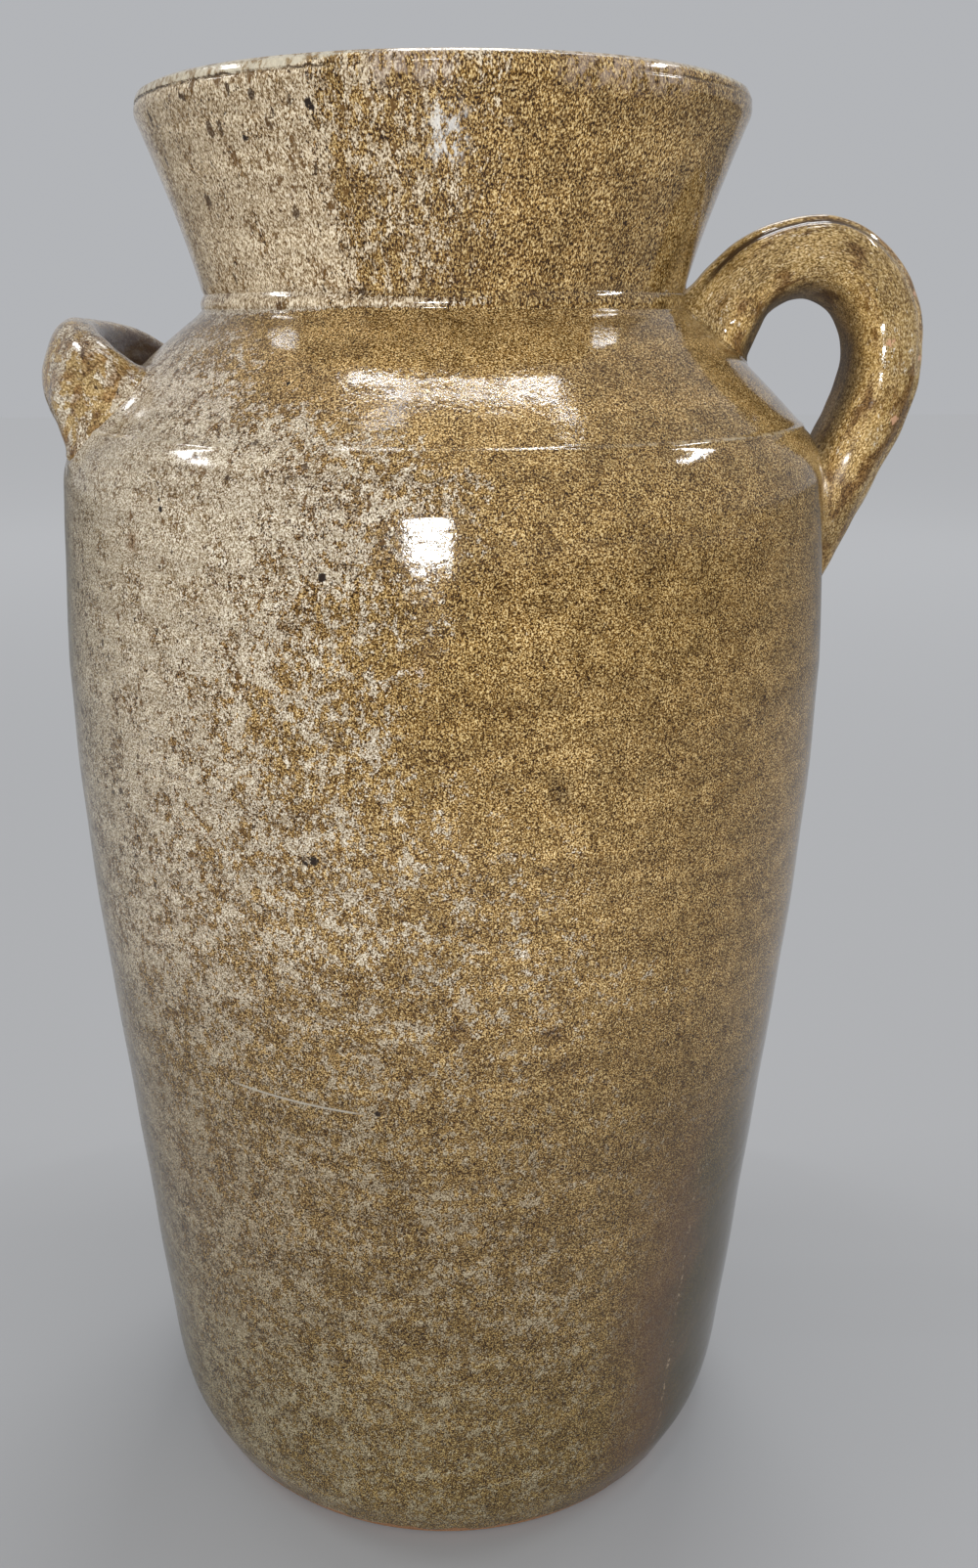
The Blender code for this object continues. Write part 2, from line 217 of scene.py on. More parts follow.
def lower_outline():
    """From the middle of the underside, up the wall and down the inside."""
    edge = [(FOOT_RADIUS - FOOT_CHAMFER * (1 - math.sin(a)), FOOT_CHAMFER * (1 - math.cos(a)))
            for a in np.linspace(0.0, math.pi / 2, FOOT_STEPS)]
    wall = finer([(wall_radius(z), z) for z in heights(FOOT_CHAMFER, JOIN_HEIGHT, FINE_STEP)])[1:]
    bore = wall_radius(JOIN_HEIGHT) - WALL
    top = JOIN_HEIGHT + LAP_HEIGHT
    inside_low = FLOOR + FLOOR_ROUND
    joint = [(bore + TONGUE_WALL, JOIN_HEIGHT), (bore + TONGUE_WALL, top), (bore, top)]
    inner = [(wall_radius(z) - WALL, z) for z in heights(JOIN_HEIGHT, inside_low, COARSE_STEP)]
    centre = wall_radius(inside_low) - WALL - FLOOR_ROUND
    inner += [(centre + FLOOR_ROUND * math.cos(a), inside_low - FLOOR_ROUND * math.sin(a))
              for a in np.linspace(0.0, math.pi / 2, FLOOR_STEPS)[1:]]
    inner += [(r, FLOOR) for r in FLOOR_RADII]
    return skinned(([(r, 0.0) for r in UNDERSIDE_RADII], 0), (edge + wall, 1), (joint, 0), (inner, -1))


def upper_outline():
    seat_top = JOIN_HEIGHT + LAP_HEIGHT + JOINT_GAP
    bore = wall_radius(JOIN_HEIGHT) - WALL
    rebate = bore + TONGUE_WALL + JOINT_GAP
    wall = [(wall_radius(z), z) for z in heights(JOIN_HEIGHT, SHOULDER_HEIGHT - SHOULDER_ROUND, FINE_STEP)]
    outside = wall + shoulder_outline()
    inner = []
    for i in range(0, len(outside), 2):
        before, after = outside[max(i - 1, 0)], outside[min(i + 1, len(outside) - 1)]
        along = Vector((after[0] - before[0], after[1] - before[1])).normalized()
        spot = (outside[i][0] - along.y * WALL, outside[i][1] + along.x * WALL)
        if spot[0] > THROAT_RADIUS + LEDGE_WIDTH and spot[1] > seat_top:
            inner.append(spot)
    inner.append((THROAT_RADIUS + BEVEL_WIDTH, inner[-1][1] + BEVEL_RISES[0]))
    throat = [(THROAT_RADIUS, inner[-1][1] + BEVEL_RISES[1])]
    throat += [(THROAT_RADIUS + out, LEDGE_HEIGHT - down) for out, down in LEDGE_EDGE]
    top = [(LEDGE_RADIUS, NECK_HEIGHT), (LEDGE_RADIUS, LEDGE_HEIGHT)] + throat[::-1]
    joint = [(bore, seat_top), (rebate, seat_top), (rebate, JOIN_HEIGHT)]
    return skinned((finer(outside), 1), (top, 0), (inner[::-1], -1), (joint, 0))


def collar_outline():
    foot = NECK_HEIGHT - COLLAR_LAP
    flare_start = NECK_HEIGHT + JOINT_GAP + BEAD_HEIGHT
    flare_end = RIM_HEIGHT - RIM_DROP
    bead = []
    for t in np.linspace(0.0, 1.0, BEAD_STEPS):
        proud = BEAD_SHARE * BEAD_PROUD * math.sin(math.pi * t) ** BEAD_FULLNESS
        bead.append((NECK_RADIUS + BEAD_FOOT - BEAD_SLOPE * t + proud, foot + (flare_start - foot) * t))
    flare = [(collar_radius(share), flare_start + share * (flare_end - flare_start))
             for share in np.linspace(0.0, 1.0, round((flare_end - flare_start) / FINE_STEP))]
    rim = resampled([(RIM_RADIUS - RIM_WALL * (1.0 - across), flare_end + RIM_DROP * up)
                     for across, up in RIM_SHARES], RIM_STEP)
    inside = []
    for share in np.linspace(*COLLAR_INSIDE):
        thickness = COLLAR_WALL + share * (RIM_WALL - COLLAR_WALL)
        inside.append((collar_radius(share) - thickness, flare_start + share * (flare_end - flare_start)))
    bore = LEDGE_RADIUS + JOINT_GAP
    inside.append((bore, LEDGE_HEIGHT - LEDGE_LAP))
    return skinned((finer(bead + flare[1:] + rim[1:]), 1), (inside, -1), ([(bore, foot)], 0))


# Relief of the thrown clay, with rises in millimetres and places in metres

# Throwing rings: rise, pitch, turns that they climb in one round, phase
OUTER_RINGS = ((0.012, 0.0088, 1.0, 0.0), (0.006, 0.0053, -1.0, 2.0))
INNER_RINGS = ((0.30, 0.0125, 1.0, 0.0), (0.12, 0.0071, 0.0, 0.0))
# Waves round the jar: size, count, phase, phase gained in a metre of height
RING_DRIFT = ((0.0020, 2, 1.1, 0.0), (0.0012, 3, 0.0, 40.0))
RING_FADE = ((0.45, 1, 0.6, 55.0),)
SWELL_PHASE = ((0.5, 1, 0.4, 0.0),)
OUT_OF_ROUND = ((0.22, 2, 0.8, 4.0), (0.10, 3, 2.0, 0.0))
# Mean strength of the rings, and the broad swells' rise, pitch and phase
RING_MEAN = 0.55
SWELL_RISE, SWELL_PITCH, SWELL_START = 0.09, 0.047, 4.0
# Height over which the relief comes up from the foot, and from the floor inside
FOOT_FADE = 0.020
# Fine raised line round the shoulder: rise, loss in front and the half angle of that, width, largest radius
CREST_RISE, CREST_LOSS, CREST_GAP, CREST_WIDTH, CREST_RADIUS = 0.40, 0.32, 0.55, 0.0007, 0.1215
# Raised edge of the neck crease, and groove under the lip: rise or depth, and width
NECK_RISE, NECK_WIDTH = 0.55, 0.0012
LIP_DEPTH, LIP_WIDTH = 0.60, 0.0006
# Arcs of the lip's groove: strength, middle, half angle
LIP_ARCS = ((1.0, math.radians(-140.0), 1.1), (0.7, math.radians(-48.0), 0.3))
# Faint level lines: height, middle, half angle, depth; then their width and slope
LEVEL_LINES = ((0.1872, -2.25, 0.50, 0.22), (0.1835, -1.95, 0.30, 0.14), (0.1700, -1.00, 0.60, 0.20),
               (0.1560, -0.85, 0.50, 0.18), (0.1260, -0.90, 0.45, 0.16), (0.2010, -1.20, 0.80, 0.12))
LINE_WIDTH, LINE_SLOPE = 0.0008, 0.006
# Slight tilts of the skin that place the two main highlights: height, half width, rise over TILT_REACH
TILTS = ((0.351, 0.010, -0.17), (0.394, 0.008, 0.10))
TILT_REACH = 0.008
# The skin stands back this far, and the rim further, so that the relief stays inside the solids' box
SKIN_INSET, RIM_INSET, RIM_INSET_DROP = 0.25, 0.35, 0.0010


def bell(value, centre, width):
    return np.exp(-((value - centre) / width) ** 2)


def angle_window(theta, centre, width):
    """1 at an angle round the jar, fading to 0 away from it."""
    gap = (theta - centre + math.pi) % math.tau - math.pi
    return np.exp(-(gap / width) ** 2)


def climbing_rings(theta, height, rings):
    return sum(rise * np.sin(math.tau * (height / pitch + climb * theta / math.tau) + phase)
               for rise, pitch, climb, phase in rings)


def round_waves(theta, height, waves):
    return sum(size * np.sin(count * theta + phase + gain * height) for size, count, phase, gain in waves)


def outer_relief(theta, radius, height):
    """How far the outer skin stands off the smooth outline, in metres."""
    rings = climbing_rings(theta, height + round_waves(theta, height, RING_DRIFT), OUTER_RINGS)
    rings *= RING_MEAN + round_waves(theta, height, RING_FADE)
    phase = SWELL_START + round_waves(theta, height, SWELL_PHASE)
    swell = SWELL_RISE * np.sin(math.tau * height / SWELL_PITCH + phase)
    total = (rings + swell + round_waves(theta, height, OUT_OF_ROUND)) * np.clip(height / FOOT_FADE, 0.0, 1.0)
    crest = CREST_RISE - CREST_LOSS * angle_window(theta, -math.pi / 2, CREST_GAP)
    total += crest * bell(height, CREST_LINE, CREST_WIDTH) * (radius < CREST_RADIUS)
    total += NECK_RISE * bell(height, NECK_HEIGHT, NECK_WIDTH) * (height <= NECK_HEIGHT)
    lip = sum(strength * angle_window(theta, middle, width) for strength, middle, width in LIP_ARCS)
    total -= LIP_DEPTH * bell(height, LIP_LINE, LIP_WIDTH) * lip
    for centre, middle, width, depth in LEVEL_LINES:
        slope = LINE_SLOPE * np.sin(theta - middle)
        total -= depth * bell(height + slope, centre, LINE_WIDTH) * angle_window(theta, middle, width)
    for centre, width, rise in TILTS:
        total += rise * (height - centre) / TILT_REACH * bell(height, centre, width)
    total -= RIM_INSET * (height > RIM_HEIGHT - RIM_DROP - RIM_INSET_DROP)
    return (total - SKIN_INSET) * MM


def inner_relief(theta, height):
    """Throwing rings on the inside, in metres."""
    return climbing_rings(theta, height, INNER_RINGS) * MM * np.clip((height - FOOT_FADE) / FOOT_FADE, 0.0, 1.0)


def turned_points(outline):
    """Grid of points of a turned piece: rings by turns."""
    data = np.array(outline)
    radius, height, skin = data[:, 0:1], data[:, 1:2], data[:, 2:3]
    before, after = np.roll(data[:, :2], 1, axis=0), np.roll(data[:, :2], -1, axis=0)
    for i in range(len(data)):
        if i == 0 or skin[i - 1, 0] != skin[i, 0]:
            before[i] = data[i, :2]
        if i + 1 == len(data) or skin[i + 1, 0] != skin[i, 0]:
            after[i] = data[i, :2]
    along = after - before
    along /= np.maximum(np.hypot(along[:, 0], along[:, 1]), 1e-9)[:, None]
    theta = np.arange(TURNS)[None, :] * math.tau / TURNS
    lift = np.where(skin > 0, outer_relief(theta, radius, height), 0.0)
    lift = np.where(skin < 0, inner_relief(theta, height), lift)
    reach = radius + along[:, 1:2] * lift
    level = height - along[:, 0:1] * lift
    reach = np.where(radius < 1e-6, 0.0, reach)
    level = np.where(radius < 1e-6, height, level)
    return np.stack([reach * np.cos(theta), reach * np.sin(theta), level + 0 * theta], axis=2), data[:, 2]


# Handles


def curve_through(points, steps):
    """Smooth curve through points, with even steps between neighbours."""
    ends = [points[0] * 2 - points[1]] + list(points) + [points[-1] * 2 - points[-2]]
    curve = []
    for i in range(1, len(ends) - 2):
        before, start, end, after = ends[i - 1:i + 3]
        for step in range(steps):
            t = step / steps
            curve.append(0.5 * (start * 2 + (end - before) * t
                                + (before * 2 - start * 5 + end * 4 - after) * t * t
                                + (start * 3 - before - end * 3 + after) * t ** 3))
    curve.append(points[-1].copy())
    return curve


def tangents(curve):
    last = len(curve) - 1
    return [(curve[min(i + 1, last)] - curve[max(i - 1, 0)]).normalized() for i in range(last + 1)]


# Strap handle, as in the solids but for a narrower root that leans
STRAP_ROOT_SHARE = 0.78
ROOT_DEPTH = 0.0080
STRAP_THICKNESS = 0.0245
STRAP_WIDTH = 0.0350
STRAP_ROOT_THICKNESS = 0.0300
STRAP_ROOT_WIDTH = 0.0350
STRAP_REACH = 0.0171
STRAP_RISE = 0.0168
STRAP_LANDING = 0.0105
LANDING_STANDOFF = 0.0068
TAIL_LENGTH = 0.0450
TAIL_THICKNESS = 0.0050
TAIL_WIDTH = 0.0120
OVALNESS = 2.5
STRAP_LEAN = math.radians(11.0)
# Shares of the arch's width and height, on its way up and on its way down
RISING_SHARES = ((0.18, 0.68), (0.56, 1.0))
FALLING_SHARES = ((0.88, 0.144), (1.0, 0.434), (0.925, 0.724))
# Stations of the strap between which its lean comes, and between which it goes
LEAN_STATIONS = (0.6, 1.4, 3.0, 5.0)


def strap_path():
    """Centre line of the strap, from inside the shoulder over the arch to the end of the tail."""
    root_radius, root_height = shoulder_point(STRAP_ROOT_SHARE)
    top = NECK_HEIGHT + STRAP_RISE
    landing = SHOULDER_HEIGHT - STRAP_LANDING
    middle, tail_height = landing - TAIL_LENGTH / 2, landing - TAIL_LENGTH
    width = BELLY_RADIUS + STRAP_REACH - root_radius
    out = Vector((SHOULDER_RISE, 0.0, SHOULDER_RADIUS - NECK_RADIUS)).normalized()
    root = Vector((root_radius, 0.0, root_height))
    points = [root - out * ROOT_DEPTH, root]
    points += [Vector((root_radius + x * width, 0.0, root_height + z * (top - root_height)))
               for x, z in RISING_SHARES]
    points += [Vector((root_radius + x * width, 0.0, top + z * (landing - top))) for x, z in FALLING_SHARES]
    points += [Vector((wall_radius(landing) + LANDING_STANDOFF, 0.0, landing)),
               Vector((wall_radius(middle) + TAIL_THICKNESS / 4, 0.0, middle)),
               Vector((wall_radius(tail_height) - TAIL_THICKNESS, 0.0, tail_height))]
    return points


def oval_rings(curve, sections, frames, sides, relief):
    """Rings of points along a curve, and the flow coordinate of each point for its material."""
    rings, flows = [], []
    length = 0.0
    for i, centre in enumerate(curve):
        if i:
            length += (centre - curve[i - 1]).length
        half_across, half_upright = sections[i]
        across, upright = frames[i]
        ring, flow = [], []
        for side in range(sides):
            angle = math.tau * side / sides
            cosine, sine = math.cos(angle), math.sin(angle)
            u = math.copysign(abs(cosine) ** (2.0 / OVALNESS), cosine)
            v = math.copysign(abs(sine) ** (2.0 / OVALNESS), sine)
            spot = centre + across * (u * half_across) + upright * (v * half_upright)
            square = (across * (u / half_across) + upright * (v / half_upright)).normalized()
            spot += square * relief(i / (len(curve) - 1), angle, spot)
            ring.append(spot)
            flow.append((length, u * half_across, v * half_upright))
        rings.append(ring)
        flows.append(flow)
    return np.array(rings), np.array(flows)


def wrap(angle):
    return (angle + math.pi) % math.tau - math.pi


def smoothstep(value, low, high):
    t = min(max((value - low) / (high - low), 0.0), 1.0)
    return t * t * (3.0 - 2.0 * t)


def stretch(value, start, full, fading, gone):
    """1 between full and fading, and 0 before start and past gone."""
    return smoothstep(value, start, full) * (1.0 - smoothstep(value, fading, gone))


# Lumps of the clay: rise in millimetres, size in metres, seed
STRAP_LUMPS = ((0.50, 0.014, 3.0), (0.22, 0.006, 7.0))
LUG_LUMPS = ((0.50, 0.013, 5.0), (0.22, 0.006, 9.0))
# Thumbed bumps and hollows: centre, size in metres, rise in millimetres
STRAP_DENTS = (((0.0950, -0.0180, 0.4080), 0.0075, 2.0), ((0.1010, -0.0190, 0.3975), 0.0060, -1.4),
               ((0.0850, -0.0185, 0.4120), 0.0060, -1.0), ((0.0960, 0.0185, 0.4060), 0.0080, 1.5))
LUG_DENTS = (((-0.1120, -0.0530, 0.3960), 0.0070, -1.3), ((-0.1120, 0.0530, 0.3960), 0.0080, -1.3),
             ((-0.1200, -0.0450, 0.3880), 0.0060, 1.0), ((-0.1250, 0.0050, 0.4040), 0.0150, -0.7))
# Pulled ridges and grooves at both edges of the strap's outer face, and the hollow between them: angle
# from its middle, half angle, rise or depth in millimetres, and shares of the length where each comes and goes
RIDGE_ANGLE, RIDGE_WIDTH, RIDGE_RISE, RIDGE_STRETCH = 0.50, 0.13, 0.55, (0.10, 0.16, 0.80, 0.90)
GROOVE_ANGLE, GROOVE_WIDTH, GROOVE_DEPTH = 0.81, 0.15, 1.10
GROOVE_START, GROOVE_EASING, GROOVE_LOSS = (0.12, 0.20), (0.34, 0.48), 0.75
HOLLOW_WIDTH, HOLLOW_DEPTH, HOLLOW_STRETCH = 0.34, 0.9, (0.14, 0.22, 0.74, 0.86)
STRAP_INSET = 0.35


def handmade(spot, lumps, dents):
    """Rise in millimetres of the lumps and dents at a point of a handle."""
    height = 0.0
    for rise, size, seed in lumps:
        height += rise * noise.noise(spot / size + Vector((seed, seed * 2.0, 0.0)))
    for centre, size, rise in dents:
        height += rise * math.exp(-((spot - Vector(centre)).length / size) ** 2)
    return height


def strap_relief(share, angle, spot):
    """Pulled ridges and grooves along the outer face, the thumbed root and small lumps."""
    height = handmade(spot, STRAP_LUMPS, STRAP_DENTS) - STRAP_INSET
    outer = angle - math.pi
    reach = stretch(share, *RIDGE_STRETCH)
    depth = smoothstep(share, *GROOVE_START) * (1.0 - GROOVE_LOSS * smoothstep(share, *GROOVE_EASING))
    for side in (-1.0, 1.0):
        ridge = math.exp(-(wrap(outer - side * RIDGE_ANGLE) / RIDGE_WIDTH) ** 2)
        groove = math.exp(-(wrap(outer - side * GROOVE_ANGLE) / GROOVE_WIDTH) ** 2)
        height += reach * (RIDGE_RISE * ridge - depth * GROOVE_DEPTH * groove)
    hollow = math.exp(-(wrap(outer) / HOLLOW_WIDTH) ** 2)
    return (height - HOLLOW_DEPTH * hollow * stretch(share, *HOLLOW_STRETCH)) * MM


def relaxed(values, passes):
    """Rows of numbers smoothed along their order, with the ends kept."""
    values = np.array(values, dtype=float)
    for _ in range(passes):
        values[1:-1] = values[1:-1] / 2 + (values[:-2] + values[2:]) / 4
    return values


def strap_rings():
    points = strap_path()
    curve = [Vector(p) for p in relaxed(curve_through(points, STRAP_STEPS), SMOOTHING)]
    root, strap = (STRAP_ROOT_THICKNESS, STRAP_ROOT_WIDTH), (STRAP_THICKNESS, STRAP_WIDTH)
    tail = (TAIL_THICKNESS, TAIL_WIDTH)
    thinning = ((strap[0] + tail[0]) / 2, (strap[1] + tail[1]) / 2)
    sizes = [root] * 2 + [strap] * 6 + [thinning, tail]
    last = len(points) - 1
    sections, frames = [], []
    side = Vector((0.0, 1.0, 0.0))
    for i, along in enumerate(tangents(curve)):
        low = min(int(i / STRAP_STEPS), last - 1)
        blend = i / STRAP_STEPS - low
        sections.append([(sizes[low][k] + blend * (sizes[low + 1][k] - sizes[low][k])) / 2 for k in (0, 1)])
        lean = STRAP_LEAN * stretch(i / STRAP_STEPS, *LEAN_STATIONS)
        across = side.cross(along)
        frames.append((across * math.cos(lean) - side * math.sin(lean),
                       side * math.cos(lean) + across * math.sin(lean)))
    return oval_rings(curve, relaxed(sections, SMOOTHING), frames, STRAP_SIDES, strap_relief)


# Lug handle, as in the solids but for narrower roots
LUG_THICKNESS = 0.0175
LUG_DEPTH = 0.0280
LUG_ROOT_THICKNESS = 0.0200
LUG_ROOT_DEPTH = 0.0370
LUG_ROOT_DROP = 0.0050
LUG_ROOT_POWER = 2.4
LUG_STANDOFF = 0.0160
LUG_HALF_SPAN = 0.0465
LUG_TILT = math.radians(16.0)
LUG_SHARE = 0.32
LUG_ARCH_SHARES = ((-1.08, -0.45), (-0.94, 0.15), (-0.80, 0.52), (-0.55, 0.82), (-0.28, 0.96), (0.0, 1.0),
                   (0.28, 0.96), (0.55, 0.82), (0.80, 0.52), (0.94, 0.15), (1.08, -0.45))


def lug_centre(span_share, standoff_share):
    radius, height = shoulder_point(LUG_SHARE)
    out = Vector((SHOULDER_RISE, SHOULDER_RADIUS - NECK_RADIUS)).normalized()
    angle = math.pi + span_share * LUG_HALF_SPAN / radius
    radius += out.x * LUG_STANDOFF * standoff_share
    height += out.y * LUG_STANDOFF * standoff_share
    return Vector((radius * math.cos(angle), radius * math.sin(angle), height))


def lug_relief(share, angle, spot):
    return handmade(spot, LUG_LUMPS, LUG_DENTS) * MM


def lug_rings():
    curve = curve_through([lug_centre(*shares) for shares in LUG_ARCH_SHARES], LUG_STEPS)
    last = len(curve) - 1
    centres, sections, frames = [], [], []
    for i, (centre, along) in enumerate(zip(curve, tangents(curve))):
        toward_root = abs(2.0 * i / last - 1.0) ** LUG_ROOT_POWER
        outward = Vector((centre.x, centre.y, 0.0)).normalized()
        lean = Vector((0.0, 0.0, math.cos(LUG_TILT))) - outward * math.sin(LUG_TILT)
        across = along.cross(lean).normalized()
        upright = across.cross(along).normalized()
        thickness = LUG_THICKNESS + toward_root * (LUG_ROOT_THICKNESS - LUG_THICKNESS)
        depth = LUG_DEPTH + toward_root * (LUG_ROOT_DEPTH - LUG_DEPTH)
        sections.append((thickness / 2, depth / 2))
        frames.append((across, upright))
        centres.append(centre - upright * LUG_ROOT_DROP * toward_root)
    return oval_rings(centres, sections, frames, LUG_SIDES, lug_relief)


# Meshes


def quads_of(rings, sides, closed):
    faces = []
    for i in range(rings if closed else rings - 1):
        low, high = i * sides, ((i + 1) % rings) * sides
        faces += [(low + j, low + (j + 1) % sides, high + (j + 1) % sides, high + j) for j in range(sides)]
    return faces


def tree_of(*grids):
    """Search tree over grids of points."""
    points, faces = [], []
    for grid in grids:
        start = len(points)
        points += [tuple(p) for p in grid.reshape(-1, 3)]
        faces += [tuple(start + k for k in face) for face in quads_of(*grid.shape[:2], False)]
    return BVHTree.FromPolygons(points, faces)


def signed_gap(tree, point, outward):
    """Distance from a surface, below zero behind it; outward tells its front."""
    spot, normal, _, gap = tree.find_nearest(point)
    if normal.dot(outward) < 0.0:
        normal = -normal
    return gap if (point - spot).dot(normal) >= 0.0 else -gap


def front_sign(tree):
    """1 where a closed surface's face normals point outward, -1 where they point inward."""
    far = Vector((0.0, 0.0, 5.0))
    spot, normal, _, _ = tree.find_nearest(far)
    return 1.0 if (far - spot).dot(normal) >= 0.0 else -1.0


def fillet_height(gap, size):
    """Height of a soft fillet at a distance from the other surface."""
    quarter = size / 4.0
    if gap <= quarter:
        return quarter
    return 0.0 if gap >= size else (math.sqrt(size) - math.sqrt(gap)) ** 2


def grid_normals(grid, closed_rows):
    """Outward normals of a grid of points, by central differences."""
    along = np.roll(grid, -1, axis=0) - np.roll(grid, 1, axis=0)
    if not closed_rows:
        along[0], along[-1] = grid[1] - grid[0], grid[-1] - grid[-2]
    across = np.roll(grid, -1, axis=1) - np.roll(grid, 1, axis=1)
    normal = np.cross(across, along)
    return normal / np.maximum(np.linalg.norm(normal, axis=2, keepdims=True), 1e-12)


def make_object(name, grid, closed, material, flow=None):
    """Mesh piece from a grid of points, with poles and ends closed."""
    rings, sides = grid.shape[:2]
    mesh = bmesh.new()
    layer = mesh.verts.layers.float_vector.new("flow") if flow is not None else None
    verts = [mesh.verts.new(p) for p in grid.reshape(-1, 3)]
    if layer:
        for vert, value in zip(verts, flow.reshape(-1, 3)):
            vert[layer] = value
    poles = [i for i in range(rings) if np.hypot(*grid[i, :, :2].T).max() < 1e-6]
    for face in quads_of(rings, sides, closed):
        mesh.faces.new([verts[k] for k in face])
    for i in poles:
        bmesh.ops.pointmerge(mesh, verts=verts[i * sides:(i + 1) * sides], merge_co=grid[i, 0])
    if not closed and not poles:
        mesh.faces.new(verts[:sides][::-1])
        mesh.faces.new(verts[-sides:])
    bmesh.ops.dissolve_degenerate(mesh, dist=1e-7, edges=mesh.edges)
    bmesh.ops.recalc_face_normals(mesh, faces=mesh.faces)
    data = bpy.data.meshes.new(name)
    mesh.to_mesh(data)
    mesh.free()
    data.materials.append(material)
    data.shade_smooth()
    data.set_sharp_from_angle(angle=math.radians(50.0))
    item = bpy.data.objects.new(name, data)
    bpy.context.scene.collection.objects.link(item)
    return item


# Upward parts of the rough outward directions that tell a surface's front
OUTWARD_RISE = 0.35
CENTRE_RISE = 0.02


def lifted_handle(rings, fillet_of, jar_tree):
    """A handle's points, with those near the jar moved out onto its fillet."""
    normals = grid_normals(rings, False)
    centres = rings.mean(axis=1, keepdims=True)
    normals *= np.sign((normals * (rings - centres)).sum(axis=2, keepdims=True))
    moved = rings.copy()
    for i, j in np.ndindex(rings.shape[:2]):
        point = Vector(rings[i, j])
        size = fillet_of(point)
        outward = Vector((point.x, point.y, 0.0)).normalized() + Vector((0.0, 0.0, OUTWARD_RISE))
        gap = signed_gap(jar_tree, point, outward)
        if gap < size:
            moved[i, j] += normals[i, j] * fillet_height(max(gap, 0.0), size)
    return moved


def lift_skin(grid, skin, handles):
    """Moves a section's outer points near the handles out onto their fillets."""
    normals = grid_normals(grid, True)
    for tree, fillet_of, (low, high) in handles:
        front = front_sign(tree)
        for i in np.nonzero(skin > 0)[0]:
            for j in np.nonzero(np.all((grid[i] > low) & (grid[i] < high), axis=1))[0]:
                point = Vector(grid[i, j])
                size = fillet_of(point)
                spot, normal, _, gap = tree.find_nearest(point)
                inside = (point - spot).dot(normal) * front < 0.0
                if gap < size or inside:
                    outward = Vector(normals[i, j])
                    if outward.dot(Vector((point.x, point.y, CENTRE_RISE))) < 0.0:
                        outward = -outward
                    grid[i, j] += np.array(outward) * fillet_height(0.0 if inside else gap, size)


def blend_roots(grids, handles):
    """Moves the jar's skin and the handles' skins onto shared fillets."""
    jar_tree = tree_of(*(grid[skin > 0] for grid, skin in grids))
    moved = [lifted_handle(rings, fillet_of, jar_tree) for rings, fillet_of, _ in handles]
    searched = [(tree_of(rings), fillet_of, box) for rings, fillet_of, box in handles]
    for grid, skin in grids:
        lift_skin(grid, skin, searched)
    return moved


# Materials


